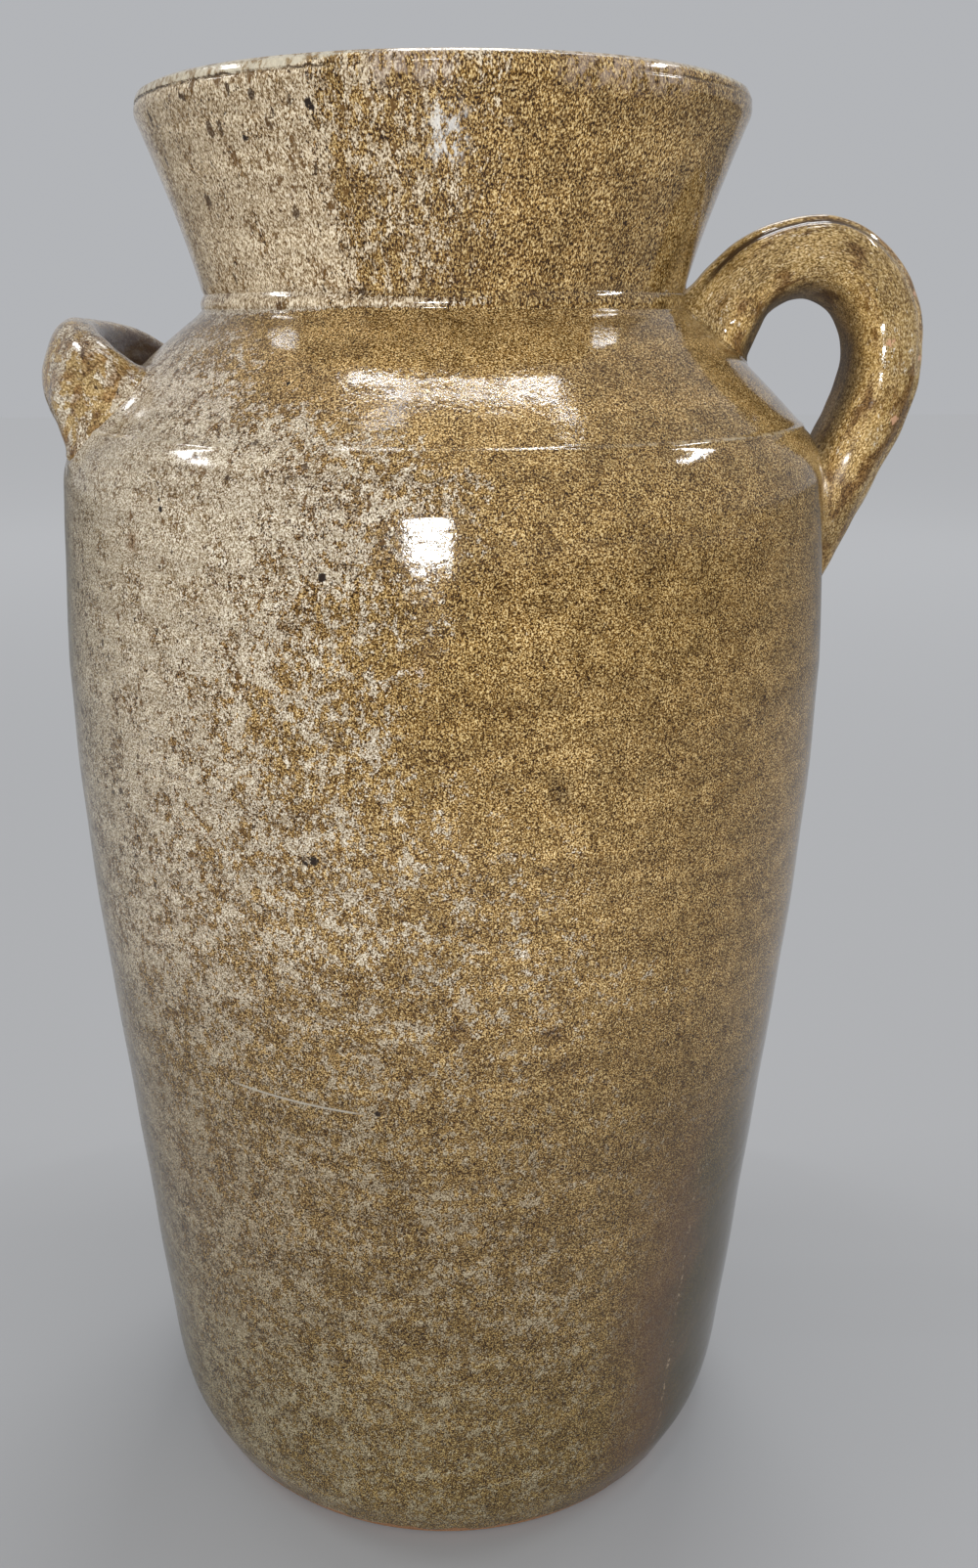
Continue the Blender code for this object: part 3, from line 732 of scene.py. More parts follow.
class Graph:
    """Small helper that builds one material's nodes."""

    def __init__(self, name):
        self.material = bpy.data.materials.new(name)
        self.material.use_nodes = True
        self.tree = self.material.node_tree
        self.shader = self.tree.nodes["Principled BSDF"]
        self.place = self.node("ShaderNodeTexCoord").outputs["Object"]

    def feed(self, made, key, value):
        """Links an input to another node's output, or gives it a plain value."""
        if isinstance(value, bpy.types.NodeSocket):
            self.tree.links.new(value, made.inputs[key])
        else:
            made.inputs[key].default_value = value

    def use(self, name, value):
        self.feed(self.shader, name, value)

    def node(self, kind, inputs=None, **settings):
        made = self.tree.nodes.new(kind)
        for key, value in settings.items():
            setattr(made, key, value)
        for key, value in (inputs or {}).items():
            self.feed(made, key, value)
        return made

    def math(self, operation, first, second=0.0, clamp=False):
        made = self.node("ShaderNodeMath", {0: first, 1: second}, operation=operation, use_clamp=clamp)
        return made.outputs[0]

    def times(self, first, *others):
        for other in others:
            first = self.math("MULTIPLY", first, other)
        return first

    def plus(self, first, second):
        return self.math("ADD", first, second)

    def minus(self, first, second):
        return self.math("SUBTRACT", first, second)

    def distance(self, spot):
        """Distance of the shaded point from a spot."""
        made = self.node("ShaderNodeVectorMath", {0: self.place, 1: spot}, operation="DISTANCE")
        return made.outputs["Value"]

    def scaled(self, vector, scale):
        return self.node("ShaderNodeMapping", {"Vector": vector, "Scale": scale}).outputs[0]

    def noise(self, scale, detail=2.0, roughness=0.5, vector=None, distortion=0.0):
        inputs = {"Vector": vector or self.place, "Scale": scale, "Detail": detail,
                  "Roughness": roughness, "Distortion": distortion}
        return self.node("ShaderNodeTexNoise", inputs).outputs["Fac"]

    def span(self, value, low, high, start=0.0, end=1.0, smooth=True):
        """Value from low to high mapped onto start to end."""
        kind = "SMOOTHSTEP" if smooth else "LINEAR"
        made = self.node("ShaderNodeMapRange", {"Value": value, "From Min": low, "From Max": high,
                                                "To Min": start, "To Max": end}, interpolation_type=kind)
        return made.outputs["Result"]

    def band(self, value, centre, half, soft, outside=0.0, inside=1.0):
        """One value within a half width of the centre and another outside it, with soft edges."""
        return self.span(self.math("ABSOLUTE", self.minus(value, centre)), half + soft, half, outside, inside)

    def wobbled(self, value, noise, size):
        """Value shifted up and down by a noise."""
        return self.plus(value, self.times(self.minus(noise, 0.5), size))

    def ramp(self, value, stops):
        """Colours or plain values between stops."""
        made = self.node("ShaderNodeValToRGB", {"Fac": value})
        elements = made.color_ramp.elements
        for i, (place, colour) in enumerate(stops):
            stop = elements[i] if i < 2 else elements.new(place)
            stop.position = place
            stop.color = (*colour, 1.0) if isinstance(colour, tuple) else (colour, colour, colour, 1.0)
        return made.outputs["Color"]

    def mix(self, share, first, second, blend="MIX"):
        """A share of the second colour over the first."""
        first, second = ((*c, 1.0) if isinstance(c, tuple) else c for c in (first, second))
        made = self.node("ShaderNodeMix", {0: share, 6: first, 7: second}, data_type="RGBA", blend_type=blend)
        return made.outputs[2]

    def tinted(self, colour, *tints):
        """The colour after tints, each a share of it and the factor that multiplies that share."""
        for share, factor in tints:
            colour = self.mix(share, colour, self.mix(1.0, colour, factor, "MULTIPLY"))
        return colour


# In the tables below, turn is the angle from the lug's side in half turns, and level is height over the
# jar's height.

# Level and the turn where the cream glaze gives way to brown
CREAM_EDGE = ((0.00, 0.50), (0.10, 0.52), (0.22, 0.52), (0.32, 0.50), (0.39, 0.38), (0.45, 0.44),
              (0.55, 0.42), (0.64, 0.38), (0.72, 0.43), (0.77, 0.47), (0.795, 0.42), (0.83, 0.27),
              (0.862, 0.15), (0.868, 0.405), (0.93, 0.395), (1.0, 0.385))
# Level and how gradual that change is
CREAM_SPREAD = ((0.00, 0.40), (0.40, 0.34), (0.56, 0.20), (0.66, 0.12), (0.75, 0.10), (0.86, 0.12),
                (0.868, 0.03), (1.0, 0.025))
# Level and the share that the cream covers on the lug's side
CREAM_COVER = ((0.00, 0.56), (0.20, 0.60), (0.38, 0.60), (0.50, 0.72), (0.65, 0.84), (0.76, 0.96),
               (0.85, 0.82), (0.868, 0.94), (1.0, 0.90))
# Share covered by cream crystals, and the level of the speckle field that gives it
COVER_BARS = ((0.00, 0.66), (0.03, 0.613), (0.10, 0.577), (0.20, 0.550), (0.35, 0.523), (0.50, 0.500),
              (0.65, 0.477), (0.80, 0.450), (0.90, 0.423), (1.00, 0.370))
# Cream on the handles, in the middle of the collar and on the bead at its foot
STRAP_CREAM, MIDDLE_CREAM, BEAD_CREAM = 0.12, 0.36, 0.93

# Noise scales, in features to a metre
PATCH_SCALE, WANDER_SCALE, STRAP_CREAM_SCALE, FOOT_SCALE = 14, 24, 60, 70
STRAP_PALE_SCALE, LUG_CREAM_SCALE, CLUMP_SCALE, STRAP_DARK_SCALE = 75, 85, 130, 150
LUG_RUST_SCALE, RING_SCALE, PEEL_SCALE, FLECK_SCALE = 160, 190, 230, 290
SPECK_SCALE, VEIN_SCALE, FLECK_WARP_SCALE, GRAIN_SCALE = 430, 520, 600, 2300
# Parts of the speckle field from the specks, clumps and grain, and half the range over which a crystal fades
FIELD_PARTS = (0.58, 0.18, 0.24)
CRYSTAL_EDGE = 0.020
# Height in metres that a relief of 1 stands for
BUMP_HEIGHT = 0.00055

# Colours over the fine grain: the brown ground on the jar and on the handles, the cream, and bare clay
GROUND_TONES = ((0.40, (0.030, 0.012, 0.002)), (0.47, (0.180, 0.088, 0.017)),
                (0.54, (0.510, 0.312, 0.092)), (0.62, (0.940, 0.740, 0.390)))
HANDLE_TONES = ((0.36, (0.110, 0.060, 0.014)), (0.46, (0.370, 0.232, 0.078)),
                (0.55, (0.630, 0.445, 0.185)), (0.66, (0.880, 0.720, 0.450)))
CREAM_TONES = ((0.39, (0.150, 0.085, 0.030)), (0.46, (0.470, 0.370, 0.230)),
               (0.53, (0.780, 0.680, 0.510)), (0.61, (0.960, 0.890, 0.760)))
CLAY_TONES = ((0.250, 0.120, 0.052), (0.420, 0.220, 0.110))
# Colours of marks
RUSTS = ((0.050, 0.023, 0.006), (0.140, 0.068, 0.015))
IRON = (0.022, 0.011, 0.005)
RIDGE_CLAY = (0.600, 0.480, 0.320)
# Painted shade in the strap's groove
GROOVE_SHADE = (0.070, 0.040, 0.018)
PEACH = (0.700, 0.400, 0.240)
# Painted shade: dark colour for the lug's inner face, standing for the shadow in the gap behind the lug
LUG_INSIDE_SHADE = (0.070, 0.042, 0.036)
LIP_TONES = ((0.300, 0.200, 0.090), (0.680, 0.620, 0.480))
# Painted shade in the groove under the lip
LIP_GROOVE_SHADE = (0.060, 0.034, 0.014)
LILAC = (0.560, 0.440, 0.360)
GLINT = (0.880, 0.860, 0.820)
CREST_CREAM = (0.620, 0.520, 0.360)
JOIN_CREAM = (0.600, 0.560, 0.480)
# Scorch tones: reddish brown, then the dark grey-green of a painted dark reflection toward the edge
SCORCH_AND_EDGE_REFLECTION_TONES = ((0.120, 0.064, 0.036), (0.052, 0.045, 0.024))
SCORCH_CREAM = (0.480, 0.360, 0.230)
# Floor and background
PALE = (0.45, 0.46, 0.48)

# Bands: centre, half width and soft edge, by turn, by level, or in metres of height or from a handle's middle
MIDDLE_TURN = (0.46, 0.02, 0.11)
BEAD_LEVEL = (0.8702, 0.0018, 0.0022)
RIDGE_BAND = (0.0098, 0.0006, 0.0007)
GROOVE_SHADE_BAND = (0.0135, 0.0007, 0.0010)
LIP_GROOVE_SHADE_TURN = (0.76, 0.05, 0.03)
LIP_GROOVE_SHADE_BAND = (LIP_LINE, 0.0001, 0.0004)
LILAC_TURNS = ((0.475, 0.025, 0.02), (0.675, 0.055, 0.03))
GLINT_TURN = (0.505, 0.008, 0.016)
GLINT_LEVEL = (0.957, 0.009, 0.009)
CREST_BAND = (CREST_LINE + 0.0003, 0.0001, 0.0005)
FRONT_TURN = (0.5, 0.10, 0.10)
JOIN_BAND = (0.1891, 0.00015, 0.0004)
JOIN_TURN = (0.377, 0.045, 0.02)
JOIN_SLOPE = 0.0155
# Painted light: band on the shoulder lightened for the light from above
SHOULDER_TOP_LIGHT_LEVEL = (0.835, 0.020, 0.015)
SCORCH_CREAM_TURN = (0.752, 0.0010, 0.0030)
# Turn and the depth of the pale band on the lip, in metres
LIP_DEPTHS = ((0.0, 0.0040), (0.36, 0.0040), (0.42, 0.0014), (0.62, 0.0012), (0.76, 0.0022), (1.0, 0.0024))
# Small iron spots: place and radius in metres
IRON_SPOTS = (((-0.0353, -0.0876, 0.4624), 0.0015), ((-0.0342, -0.0875, 0.4609), 0.0011),
              ((-0.0590, -0.0734, 0.4616), 0.0009), ((-0.0536, -0.0745, 0.4550), 0.0012),
              ((-0.0563, -0.0618, 0.4320), 0.0010), ((-0.0781, -0.0972, 0.3617), 0.0007),
              ((-0.0778, -0.0981, 0.3592), 0.0008), ((-0.0369, -0.1228, 0.2649), 0.0013),
              ((-0.0392, -0.1220, 0.2638), 0.0009), ((-0.0204, -0.1210, 0.1829), 0.0011),
              ((-0.0320, -0.1225, 0.3445), 0.0014), ((-0.0423, -0.0920, 0.3926), 0.0007),
              ((-0.0331, -0.0790, 0.4135), 0.0008))
# Soft patches: place, radius in metres, how strong, and what the glaze's colour is multiplied by
SOFT_PATCHES = (((0.0322, -0.1244, 0.2828), 0.0056, 0.75, (0.42, 0.40, 0.40)),
                ((0.0043, -0.1249, 0.2111), 0.0034, 0.80, (0.40, 0.34, 0.32)),
                ((0.0315, -0.1209, 0.2096), 0.0033, 0.80, (0.40, 0.34, 0.32)),
                ((0.0546, -0.1112, 0.1972), 0.0026, 0.80, (0.40, 0.34, 0.32)),
                ((0.0349, -0.1189, 0.1965), 0.0046, 0.60, (0.45, 0.40, 0.36)),
                ((-0.0885, -0.0902, 0.3486), 0.0028, 0.90, (0.42, 0.30, 0.20)),
                ((0.0997, -0.0733, 0.3653), 0.0013, 0.95, (0.30, 0.26, 0.26)),
                ((-0.0042, -0.1265, 0.2337), 0.0120, 0.50, (0.60, 0.58, 0.54)),
                ((0.0251, -0.1242, 0.2357), 0.0056, 0.70, (1.45, 1.50, 1.65)),
                ((-0.0065, -0.1278, 0.3203), 0.0030, 0.70, (1.20, 1.20, 1.40)))
# Bare peach spots on the strap: place and radius in metres
BARE_SPOTS = (((0.1431, -0.0160, 0.4010), 0.0017), ((0.1470, -0.0160, 0.3771), 0.0014),
              ((0.1515, -0.0110, 0.4160), 0.0011), ((0.1535, -0.0110, 0.4070), 0.0010),
              ((0.1545, -0.0110, 0.3960), 0.0012))


def jar_places(g):
    """The shaded point's turn, level and height."""
    parts = g.node("ShaderNodeSeparateXYZ", {0: g.place}).outputs
    x, y, z = parts["X"], parts["Y"], parts["Z"]
    reach = g.math("SQRT", g.plus(g.times(x, x), g.times(y, y)))
    angle = g.math("ARCCOSINE", g.math("DIVIDE", g.times(x, -1.0), reach))
    return g.math("DIVIDE", angle, math.pi), g.math("DIVIDE", z, RIM_HEIGHT), z


def cream_share(g, turn, level, wander, handle):
    """Share of the glaze that cream crystals cover."""
    if handle == "strap":
        return g.times(g.noise(STRAP_CREAM_SCALE), STRAP_CREAM)
    if handle == "lug":
        return g.span(g.noise(LUG_CREAM_SCALE, 2.0, 0.6, distortion=0.6), 0.42, 0.60, 0.06, 0.92)
    spread = g.ramp(level, CREAM_SPREAD)
    drift = g.times(wander, g.plus(g.times(spread, 2.2), 0.12))
    lead = g.plus(g.minus(g.ramp(level, CREAM_EDGE), turn), drift)
    share = g.math("ADD", g.math("DIVIDE", lead, g.times(spread, 2.0)), 0.5, clamp=True)
    share = g.times(share, g.ramp(level, CREAM_COVER))
    middle = g.times(g.band(turn, *MIDDLE_TURN), g.span(level, 0.870, 0.885))
    share = g.math("MAXIMUM", share, g.times(middle, MIDDLE_CREAM))
    bead = g.times(g.band(level, *BEAD_LEVEL), g.span(g.plus(turn, drift), 0.58, 0.48))
    return g.math("MAXIMUM", share, g.times(bead, BEAD_CREAM))


def two_glazes(g, handle, level, stretched, cream, crystals, clump, grain):
    """Colour of the brown ground, and of the cream crystals over it, both with fine dark veins."""
    net = g.math("ABSOLUTE", g.minus(g.noise(VEIN_SCALE, 3.0, 0.6, stretched, distortion=0.5), 0.5))
    veins = g.times(g.span(net, 0.060, 0.014), g.span(clump, 0.40, 0.58, 1.0, 0.45))
    patches = g.span(g.noise(PATCH_SCALE, 3.0, 0.6), 0.38, 0.62)
    ground = g.tinted(g.ramp(grain, HANDLE_TONES if handle else GROUND_TONES), (patches, (0.85, 0.84, 0.80)),
                      (g.span(clump, 0.40, 0.62), (1.18, 1.18, 1.20)), (veins, (0.50, 0.44, 0.36)),
                      (g.span(cream, 0.35, 0.80), (0.72, 0.64, 0.56)))
    pale = g.tinted(g.ramp(grain, CREAM_TONES), (veins, (0.31, 0.21, 0.09)),
                    (g.span(level, 0.55, 0.30), (0.86, 0.81, 0.72)),
                    (g.span(level, 0.866, 0.870), (1.08, 1.03, 0.95)))
    return g.mix(crystals, ground, pale)


def iron_flecks(g, stretched, cream, speck, level):
    """Mask and colour of small rusty flecks."""
    drift = g.node("ShaderNodeTexNoise", {"Vector": stretched, "Scale": FLECK_WARP_SCALE}).outputs["Color"]
    warped = g.node("ShaderNodeMix", {0: 0.0030, 4: stretched, 5: drift}, data_type="VECTOR").outputs[1]
    cells = g.node("ShaderNodeTexVoronoi", {"Vector": warped, "Scale": FLECK_SCALE}).outputs
    pick = g.node("ShaderNodeSeparateColor", {0: cells["Color"]}).outputs
    gap = g.wobbled(cells["Distance"], speck, 0.9)
    size = g.times(g.span(pick["Red"], 0.38, 1.0, 0.0, 0.44, smooth=False),
                   g.span(cream, 0.15, 0.70, 0.45, 1.0), g.span(level, 0.80, 0.87, 0.74, 1.0))
    return g.span(g.minus(size, gap), 0.0, 0.07), g.mix(g.span(pick["Green"], 0.15, 0.60), *RUSTS)


def strap_marks(g, flow, colour, speck):
    """Blotches along the strap, the pale worn ridge, painted shade in the groove beside it, a darker tail end,
    painted shade on the inner face and bare spots.
    """
    along = g.scaled(flow, (0.40, 1.0, 1.0))
    dark = g.span(g.noise(STRAP_DARK_SCALE, 3.0, 0.62, along), 0.51, 0.63)
    light = g.span(g.noise(STRAP_PALE_SCALE, 2.0, 0.5, along), 0.47, 0.60)
    colour = g.tinted(colour, (dark, (0.42, 0.34, 0.26)), (light, (1.35, 1.32, 1.24)))
    parts = g.node("ShaderNodeSeparateXYZ", {0: flow}).outputs
    length, inward, side = parts["X"], parts["Y"], g.math("ABSOLUTE", parts["Z"])
    worn = g.times(g.span(inward, -0.0070, -0.0095), g.band(side, *RIDGE_BAND),
                   g.span(speck, 0.40, 0.52, 0.35, 0.95))
    colour = g.mix(worn, colour, RIDGE_CLAY)
    # Painted shade: dark brown in the groove beside the outer ridge, on the upper part of the strap only
    groove = g.times(g.band(side, *GROOVE_SHADE_BAND), g.span(inward, -0.0050, -0.0075))
    reach = g.times(g.span(length, 0.016, 0.024), g.span(length, 0.080, 0.050))
    colour = g.mix(g.times(groove, reach), colour, GROOVE_SHADE)
    # Darker towards the tail's end; and painted shade: the strap's inner face is darkened as the shade inside
    # the handle's opening
    colour = g.tinted(colour, (g.span(length, 0.128, 0.150), (0.60, 0.58, 0.54)),
                      (g.span(inward, 0.0085, 0.0120), (0.40, 0.38, 0.36)))
    for spot, radius in BARE_SPOTS:
        near = g.wobbled(g.distance(spot), speck, radius * 3.0)
        colour = g.mix(g.span(near, radius * 1.1, radius * 0.8, 0.0, 0.85), colour, PEACH)
    return colour


def lip_marks(g, turn, level, rise, colour, speck, clump):
    """Pale band on the lip, painted shade in the groove under it, lilac tinges and a glint on the collar."""
    lip = g.span(g.minus(rise, g.minus(RIM_HEIGHT, g.ramp(turn, LIP_DEPTHS))), -0.0004, 0.0004)
    colour = g.mix(g.times(lip, 0.85), colour, g.mix(g.span(speck, 0.42, 0.55), *LIP_TONES))
    # Painted shade: a dark line in the groove under the overhanging lip, on the sides of the collar
    sides = g.math("MAXIMUM", g.span(turn, 0.44, 0.38), g.band(turn, *LIP_GROOVE_SHADE_TURN))
    groove = g.times(g.band(rise, *LIP_GROOVE_SHADE_BAND), sides, g.span(clump, 0.40, 0.55, 0.25, 0.95))
    colour = g.mix(groove, colour, LIP_GROOVE_SHADE)
    tinge = g.math("MAXIMUM", *(g.band(turn, *place) for place in LILAC_TURNS))
    lilac = g.times(g.span(level, 0.976, 0.988), tinge, g.span(speck, 0.42, 0.58), 0.50)
    colour = g.mix(lilac, colour, LILAC)
    glint = g.times(g.band(turn, *GLINT_TURN), g.band(level, *GLINT_LEVEL), g.span(speck, 0.46, 0.58, 0.0, 0.8))
    return g.mix(glint, colour, GLINT)


def line_marks(g, turn, height, colour, speck):
    """Pale line round the shoulder, and a short one where the two sections join."""
    faint_front = g.band(turn, *FRONT_TURN, outside=1.0, inside=0.15)
    crest = g.times(g.band(height, *CREST_BAND), g.span(speck, 0.42, 0.56), faint_front, 0.60)
    colour = g.mix(crest, colour, CREST_CREAM)
    sloping = g.plus(height, g.times(turn, JOIN_SLOPE))
    join = g.times(g.band(sloping, *JOIN_BAND), g.band(turn, *JOIN_TURN), 0.8)
    return g.mix(join, colour, JOIN_CREAM)


def side_tones(g, turn, level, wander, colour, speck):
    """Darker lower wall and strap side; the lug side's edge darkened, partly its grey-green glaze and partly
    painted shade; a shoulder band lightened as painted light from above; and the scorch low on the strap's
    side, whose grey-green outer part is a painted dark reflection.
    """
    place = g.plus(turn, g.times(wander, 0.5))
    strap_side = g.times(g.span(turn, 0.58, 0.72), g.span(level, 0.80, 0.74))
    # Partly painted shade: the lug side's edge is darkened, partly for its grey-green glaze and partly for the
    # shade seen at that edge
    lug_edge_tone_and_shade = g.times(g.span(place, 0.26, 0.02), g.span(level, 0.80, 0.72))
    # The last tint lightens a band on the upward-facing shoulder as painted light from above
    colour = g.tinted(colour, (g.span(level, 0.50, 0.34), (0.72, 0.72, 0.70)),
                      (g.span(level, 0.30, 0.06), (0.92, 0.95, 0.88)), (strap_side, (0.88, 0.86, 0.82)),
                      (lug_edge_tone_and_shade, (0.50, 0.51, 0.45)), (g.band(level, *SHOULDER_TOP_LIGHT_LEVEL), (1.15, 1.15, 1.18)))
    # Scorch low on the strap's side, partly painted: a reddish-brown band, then a dark grey-green outer part
    # that is a painted dark reflection at the edge
    scorch_and_edge_reflection = g.times(g.span(place, 0.64, 0.76), g.span(level, 0.42, 0.22))
    colour = g.mix(g.times(scorch_and_edge_reflection, 0.80), colour, g.mix(g.span(place, 0.72, 0.80), *SCORCH_AND_EDGE_REFLECTION_TONES))
    flecks = g.times(g.band(turn, *SCORCH_CREAM_TURN), g.span(speck, 0.56, 0.62, 0.0, 0.8), scorch_and_edge_reflection)
    return g.mix(flecks, colour, SCORCH_CREAM)


def placed_spots(g, colour, speck, clump, field):
    """Iron spots and soft patches, where the photo shows them."""
    for spot, radius in IRON_SPOTS:
        near = g.wobbled(g.distance(spot), speck, radius * 3.0)
        colour = g.mix(g.span(near, radius * 1.15, radius * 0.85), colour, IRON)
    blotted = g.span(field, 0.44, 0.53, 0.25, 1.0)
    for spot, radius, strength, factor in SOFT_PATCHES:
        near = g.wobbled(g.distance(spot), clump, radius * 2.5)
        share = g.times(g.span(near, radius * 1.4, radius * 0.4, 0.0, strength), blotted)
        colour = g.tinted(colour, (share, factor))
    return colour


def glaze(name, streak, handle=None):
    """Speckled ash glaze: cream crystals over a golden brown ground, with iron flecks."""
    g = Graph(name)
    turn, level, height = jar_places(g)
    if handle:
        flow = g.node("ShaderNodeAttribute", attribute_name="flow").outputs["Vector"]
        inward = g.node("ShaderNodeSeparateXYZ", {0: flow}).outputs["Y"]
        stretched = g.scaled(flow, (streak, 1.0, 1.0))
    else:
        stretched = g.scaled(g.place, (1.0, 1.0, streak))
    wander = g.times(g.minus(g.noise(WANDER_SCALE, 3.0, 0.6), 0.5), 0.35)
    clump = g.noise(CLUMP_SCALE, 2.0, 0.5, stretched)
    speck = g.noise(SPECK_SCALE, 4.0, 0.72, stretched)
    grain = g.noise(GRAIN_SCALE, 2.0, 0.65, stretched)

    cream = cream_share(g, turn, level, wander, handle)
    specks, clumps, grains = (g.times(layer, part) for layer, part in zip((speck, clump, grain), FIELD_PARTS))
    field = g.plus(g.plus(specks, clumps), grains)
    crystals = g.span(g.minus(field, g.ramp(cream, COVER_BARS)), -CRYSTAL_EDGE, CRYSTAL_EDGE)
    colour = two_glazes(g, handle, level, stretched, cream, crystals, clump, grain)
    if not handle:
        rings = g.span(g.noise(RING_SCALE, 2.0, 0.6, g.scaled(g.place, (0.06, 0.06, 1.0))), 0.40, 0.60)
        colour = g.tinted(colour, (rings, (0.84, 0.83, 0.82)))
    fleck, rust = iron_flecks(g, stretched, cream, speck, level)
    colour = g.mix(g.times(fleck, g.span(grain, 0.40, 0.60, 1.0, 0.80)), colour, rust)
    if handle == "strap":
        colour = strap_marks(g, flow, colour, speck)
    elif handle == "lug":
        rusty = g.span(g.noise(LUG_RUST_SCALE, 3.0, 0.6), 0.48, 0.64)
        colour = g.tinted(colour, (rusty, (0.56, 0.44, 0.32)))
        # Painted shade: the lug's inner face is darkened as the shadow in the gap between the lug and the
        # shoulder
        colour = g.mix(g.span(inward, -0.0020, -0.0065, 0.0, 0.85), colour, LUG_INSIDE_SHADE)
    else:
        colour = lip_marks(g, turn, level, g.wobbled(height, speck, 0.0030), colour, speck, clump)
        colour = line_marks(g, turn, height, colour, speck)
        colour = side_tones(g, turn, level, wander, colour, speck)
        colour = placed_spots(g, colour, speck, clump, field)

    bare = g.span(g.wobbled(height, g.noise(FOOT_SCALE, 3.0, 0.6), 0.0080), 0.0042, 0.0034)
    g.use("Base Color", g.mix(bare, colour, g.mix(g.span(grain, 0.40, 0.60), *CLAY_TONES)))
    rough = g.span(crystals, 0.0, 1.0, 0.070, 0.120, smooth=False)
    if handle == "strap":
        rough = g.plus(rough, g.span(height, 0.3720, 0.3580, 0.0, 0.25))
        rough = g.plus(rough, g.span(inward, 0.0060, 0.0110, 0.0, 0.50))
    g.use("Roughness", g.math("MAXIMUM", rough, g.times(bare, 0.80)))
    relief = g.times(g.noise(PEEL_SCALE, 3.0, 0.6), 0.15)
    for layer, rise in ((grain, 0.015), (crystals, 0.14), (fleck, -0.10)):
        relief = g.plus(relief, g.times(layer, rise))
    bump = g.node("ShaderNodeBump", {"Height": relief, "Strength": 1.0, "Distance": BUMP_HEIGHT})
    g.use("Normal", bump.outputs[0])
    return g.material


def pale_floor():
    """Matt pale floor that fades into the background far from the jar."""
    g = Graph("studio_pale")
    g.use("Base Color", g.mix(g.noise(3.0, 2.0, 0.5), PALE, tuple(c * 0.985 for c in PALE)))
    g.use("Roughness", 1.0)
    g.use("Specular IOR Level", 0.0)
    g.use("Emission Color", (*PALE, 1.0))
    far = g.span(g.distance((0.0, 0.0, 0.0)), 0.3, 2.6, 0.10, 0.62)
    seen = g.node("ShaderNodeLightPath").outputs["Is Camera Ray"]
    g.use("Emission Strength", g.math("MULTIPLY", far, seen))
    return g.material


# Scene

# Boxes round the handles' roots: lowest and highest corner
STRAP_BOX = ((0.070, -0.035, 0.300), (0.145, 0.035, 0.445))
LUG_BOX = ((-0.140, -0.075, 0.345), (-0.070, 0.075, 0.425))
# Heights over which the fillet of the strap's tail turns into that of its root
STRAP_FILLET_HEIGHTS = (0.352, 0.380)
FLOOR_REACH = 6.0
FLOOR_DROP = 0.0002
WORLD_LIGHT = (1.0, 0.99, 0.97, 1.0)
WORLD_STRENGTH = 0.36

# Narrow lamps in an arc over the jar, seen in the glaze as the band on the shoulder, its two ends and the
# small marks below them: name, place, size in metres, power in watts and turn about the vertical in degrees
TOP_LAMPS = (("top_middle", (0.03, -0.083, 1.60), (0.44, 0.010), 0.90, 0.0),
             ("top_left", (-0.30, -0.006, 1.60), (0.26, 0.022), 0.80, -24.0),
             ("top_right", (0.38, -0.001, 1.60), (0.26, 0.025), 0.90, 24.0),
             ("low_left", (-0.25, -0.150, 1.59), (0.18, 0.018), 0.25, 0.0),
             ("low_right", (0.52, -0.033, 1.59), (0.11, 0.018), 0.18, 24.0))
TOP_LEAN = 0.010
TOP_AIM_HEIGHT = 0.39


def make_jar():
    outlines = (lower_outline(), upper_outline(), collar_outline())
    lower, upper, collar = (turned_points(outline) for outline in outlines)
    strap, strap_flow = strap_rings()
    lug, lug_flow = lug_rings()

    def strap_fillet(point):
        return TAIL_FILLET + (ROOT_FILLET - TAIL_FILLET) * smoothstep(point.z, *STRAP_FILLET_HEIGHTS)

    handles = [(strap, strap_fillet, STRAP_BOX), (lug, lambda point: LUG_FILLET, LUG_BOX)]
    strap, lug = blend_roots([lower, upper, collar], handles)
    pieces = [("lower_section", "lower_body", "olive_glaze", lower[0], False, ("churn_lower_glaze", 0.9)),
              ("upper_section", "upper_body", "upper_glaze", upper[0], True, ("churn_upper_glaze", 0.9)),
              ("flared_collar", "collar", "cream_glaze", collar[0], True, ("churn_collar_glaze", 0.45)),
              ("pulled_strap", "strap_handle", "strap_glaze", strap, False,
               ("churn_strap_glaze", 0.55, "strap")),
              ("bowed_lug", "lug_handle", "lug_glaze", lug, False, ("churn_lug_glaze", 0.75, "lug"))]
    flows = {"pulled_strap": strap_flow, "bowed_lug": lug_flow}
    for name, node, slot, grid, closed, look in pieces:
        item = make_object(name, grid, closed, glaze(*look), flows.get(name))
        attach(item, "root")
        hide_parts(node)


def make_stage():
    mesh = bmesh.new()
    corners = [mesh.verts.new((x * FLOOR_REACH, y * FLOOR_REACH, -FLOOR_DROP))
               for x, y in ((-1, -1), (1, -1), (1, 1), (-1, 1))]
    mesh.faces.new(corners)
    data = bpy.data.meshes.new("studio_floor")
    mesh.to_mesh(data)
    mesh.free()
    data.materials.append(pale_floor())
    item = bpy.data.objects.new("studio_floor", data)
    bpy.context.scene.collection.objects.link(item)


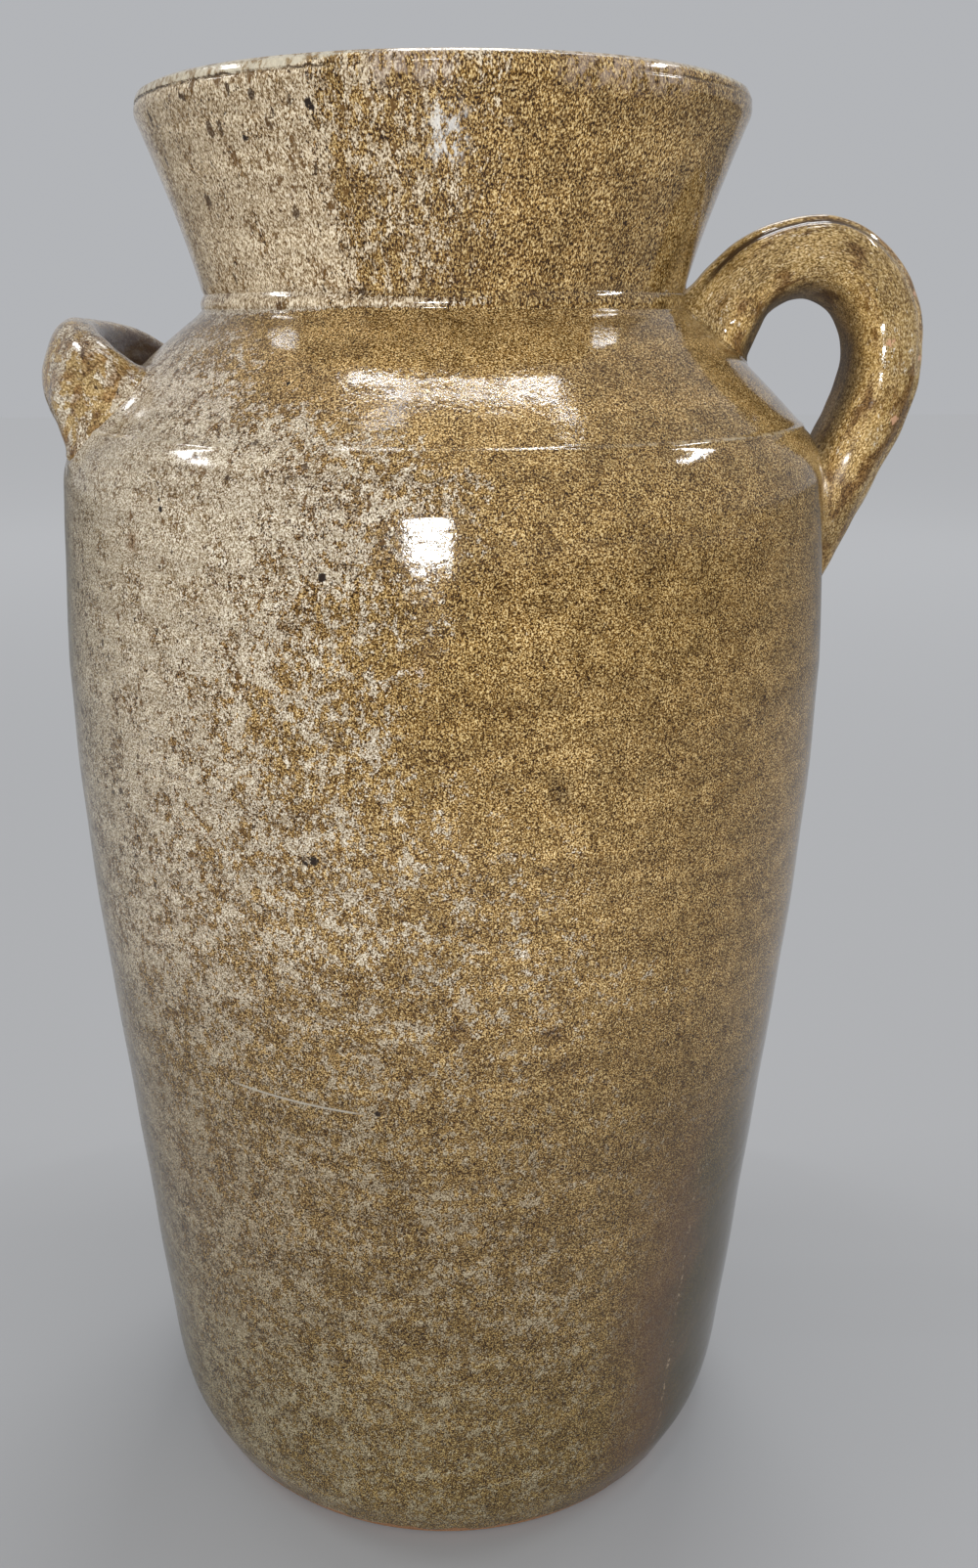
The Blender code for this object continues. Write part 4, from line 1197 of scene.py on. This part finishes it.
def make_world():
    """Pale background to the camera and in reflections, and a plain soft light on the jar."""
    world = bpy.data.worlds.new("studio")
    bpy.context.scene.world = world
    world.use_nodes = True
    nodes, links = world.node_tree.nodes, world.node_tree.links
    shown, lit = nodes["Background"], nodes.new("ShaderNodeBackground")
    for background, colour, strength in ((shown, (*PALE, 1.0), 1.0), (lit, WORLD_LIGHT, WORLD_STRENGTH)):
        background.inputs["Color"].default_value = colour
        background.inputs["Strength"].default_value = strength
    rays = nodes.new("ShaderNodeLightPath").outputs
    seen = rays["Is Camera Ray"]
    for kind in ("Is Glossy Ray", "Is Transmission Ray"):
        either = nodes.new("ShaderNodeMath")
        either.operation = "MAXIMUM"
        links.new(seen, either.inputs[0])
        links.new(rays[kind], either.inputs[1])
        seen = either.outputs[0]
    mix = nodes.new("ShaderNodeMixShader")
    links.new(seen, mix.inputs["Fac"])
    links.new(lit.outputs[0], mix.inputs[1])
    links.new(shown.outputs[0], mix.inputs[2])
    links.new(mix.outputs[0], nodes["World Output"].inputs["Surface"])


def make_lamp(name, place, aim, size, power, spin=0.0, spread=180.0, shape="RECTANGLE"):
    lamp = bpy.data.lights.new(name, "AREA")
    lamp.shape = shape
    lamp.spread = math.radians(spread)
    lamp.size, lamp.size_y = size
    lamp.energy = power
    item = bpy.data.objects.new(name, lamp)
    item.location = place
    aimed = (Vector(aim) - Vector(place)).to_track_quat("-Z", "Y").to_matrix().to_4x4()
    item.rotation_euler = (Matrix.Rotation(math.radians(spin), 4, "Z") @ aimed).to_euler()
    bpy.context.scene.collection.objects.link(item)


def make_lamps():
    """The front box's image is the highlight on the upper wall, and the strips' are those under the collar."""
    make_lamp("front_box", (-0.09, -1.31, 0.358), (0.0, 0.0, 0.380), (0.24, 0.080), 2.45,
              spread=90.0, shape="ELLIPSE")
    for name, (x, y, z), size, power, spin in TOP_LAMPS:
        make_lamp(name, (x, y, z), (x, y - TOP_LEAN, TOP_AIM_HEIGHT), size, power, spin)
    for name, side in (("right_strip", 1.0), ("left_strip", -1.0)):
        make_lamp(name, (side * 1.08, 0.17, 1.31), (side * 0.07, -0.10, 0.37), (0.42, 0.06), 3.0)
    make_lamp("back_box", (0.25, 1.1, 2.0), (0.0, 0.0, 0.25), (0.9, 0.6), 11.0)


# Camera fitted to the photo: the photo's size, the focal length and the column of the jar's axis in pixels,
# the camera's tilt and roll, and its place in jar heights
PHOTO_WIDTH, PHOTO_HEIGHT = 1000.0, 1603.0
FOCAL_PIXELS = 1450.0
AXIS_COLUMN = 454.5
CAMERA_TILT = math.radians(18.155)
CAMERA_ROLL = math.radians(-0.19)
CAMERA_BACK, CAMERA_UP = 1.03702, 0.8606
SENSOR_WIDTH = 36.0


def make_camera():
    data = bpy.data.cameras.new("photo_camera")
    data.sensor_width = SENSOR_WIDTH
    data.lens = FOCAL_PIXELS / PHOTO_HEIGHT * SENSOR_WIDTH
    data.shift_x = (PHOTO_WIDTH / 2 - AXIS_COLUMN) / PHOTO_HEIGHT
    data.clip_start = 0.01
    camera = bpy.data.objects.new("photo_camera", data)
    turn = Matrix.Rotation(math.pi / 2 - CAMERA_TILT, 4, "X") @ Matrix.Rotation(CAMERA_ROLL, 4, "Z")
    camera.rotation_euler = turn.to_euler()
    camera.location = (0.0, -CAMERA_BACK * RIM_HEIGHT, CAMERA_UP * RIM_HEIGHT)
    bpy.context.scene.collection.objects.link(camera)
    bpy.context.scene.camera = camera


make_jar()
make_stage()
make_world()
make_lamps()
make_camera()
bpy.context.scene.view_settings.view_transform = "Standard"
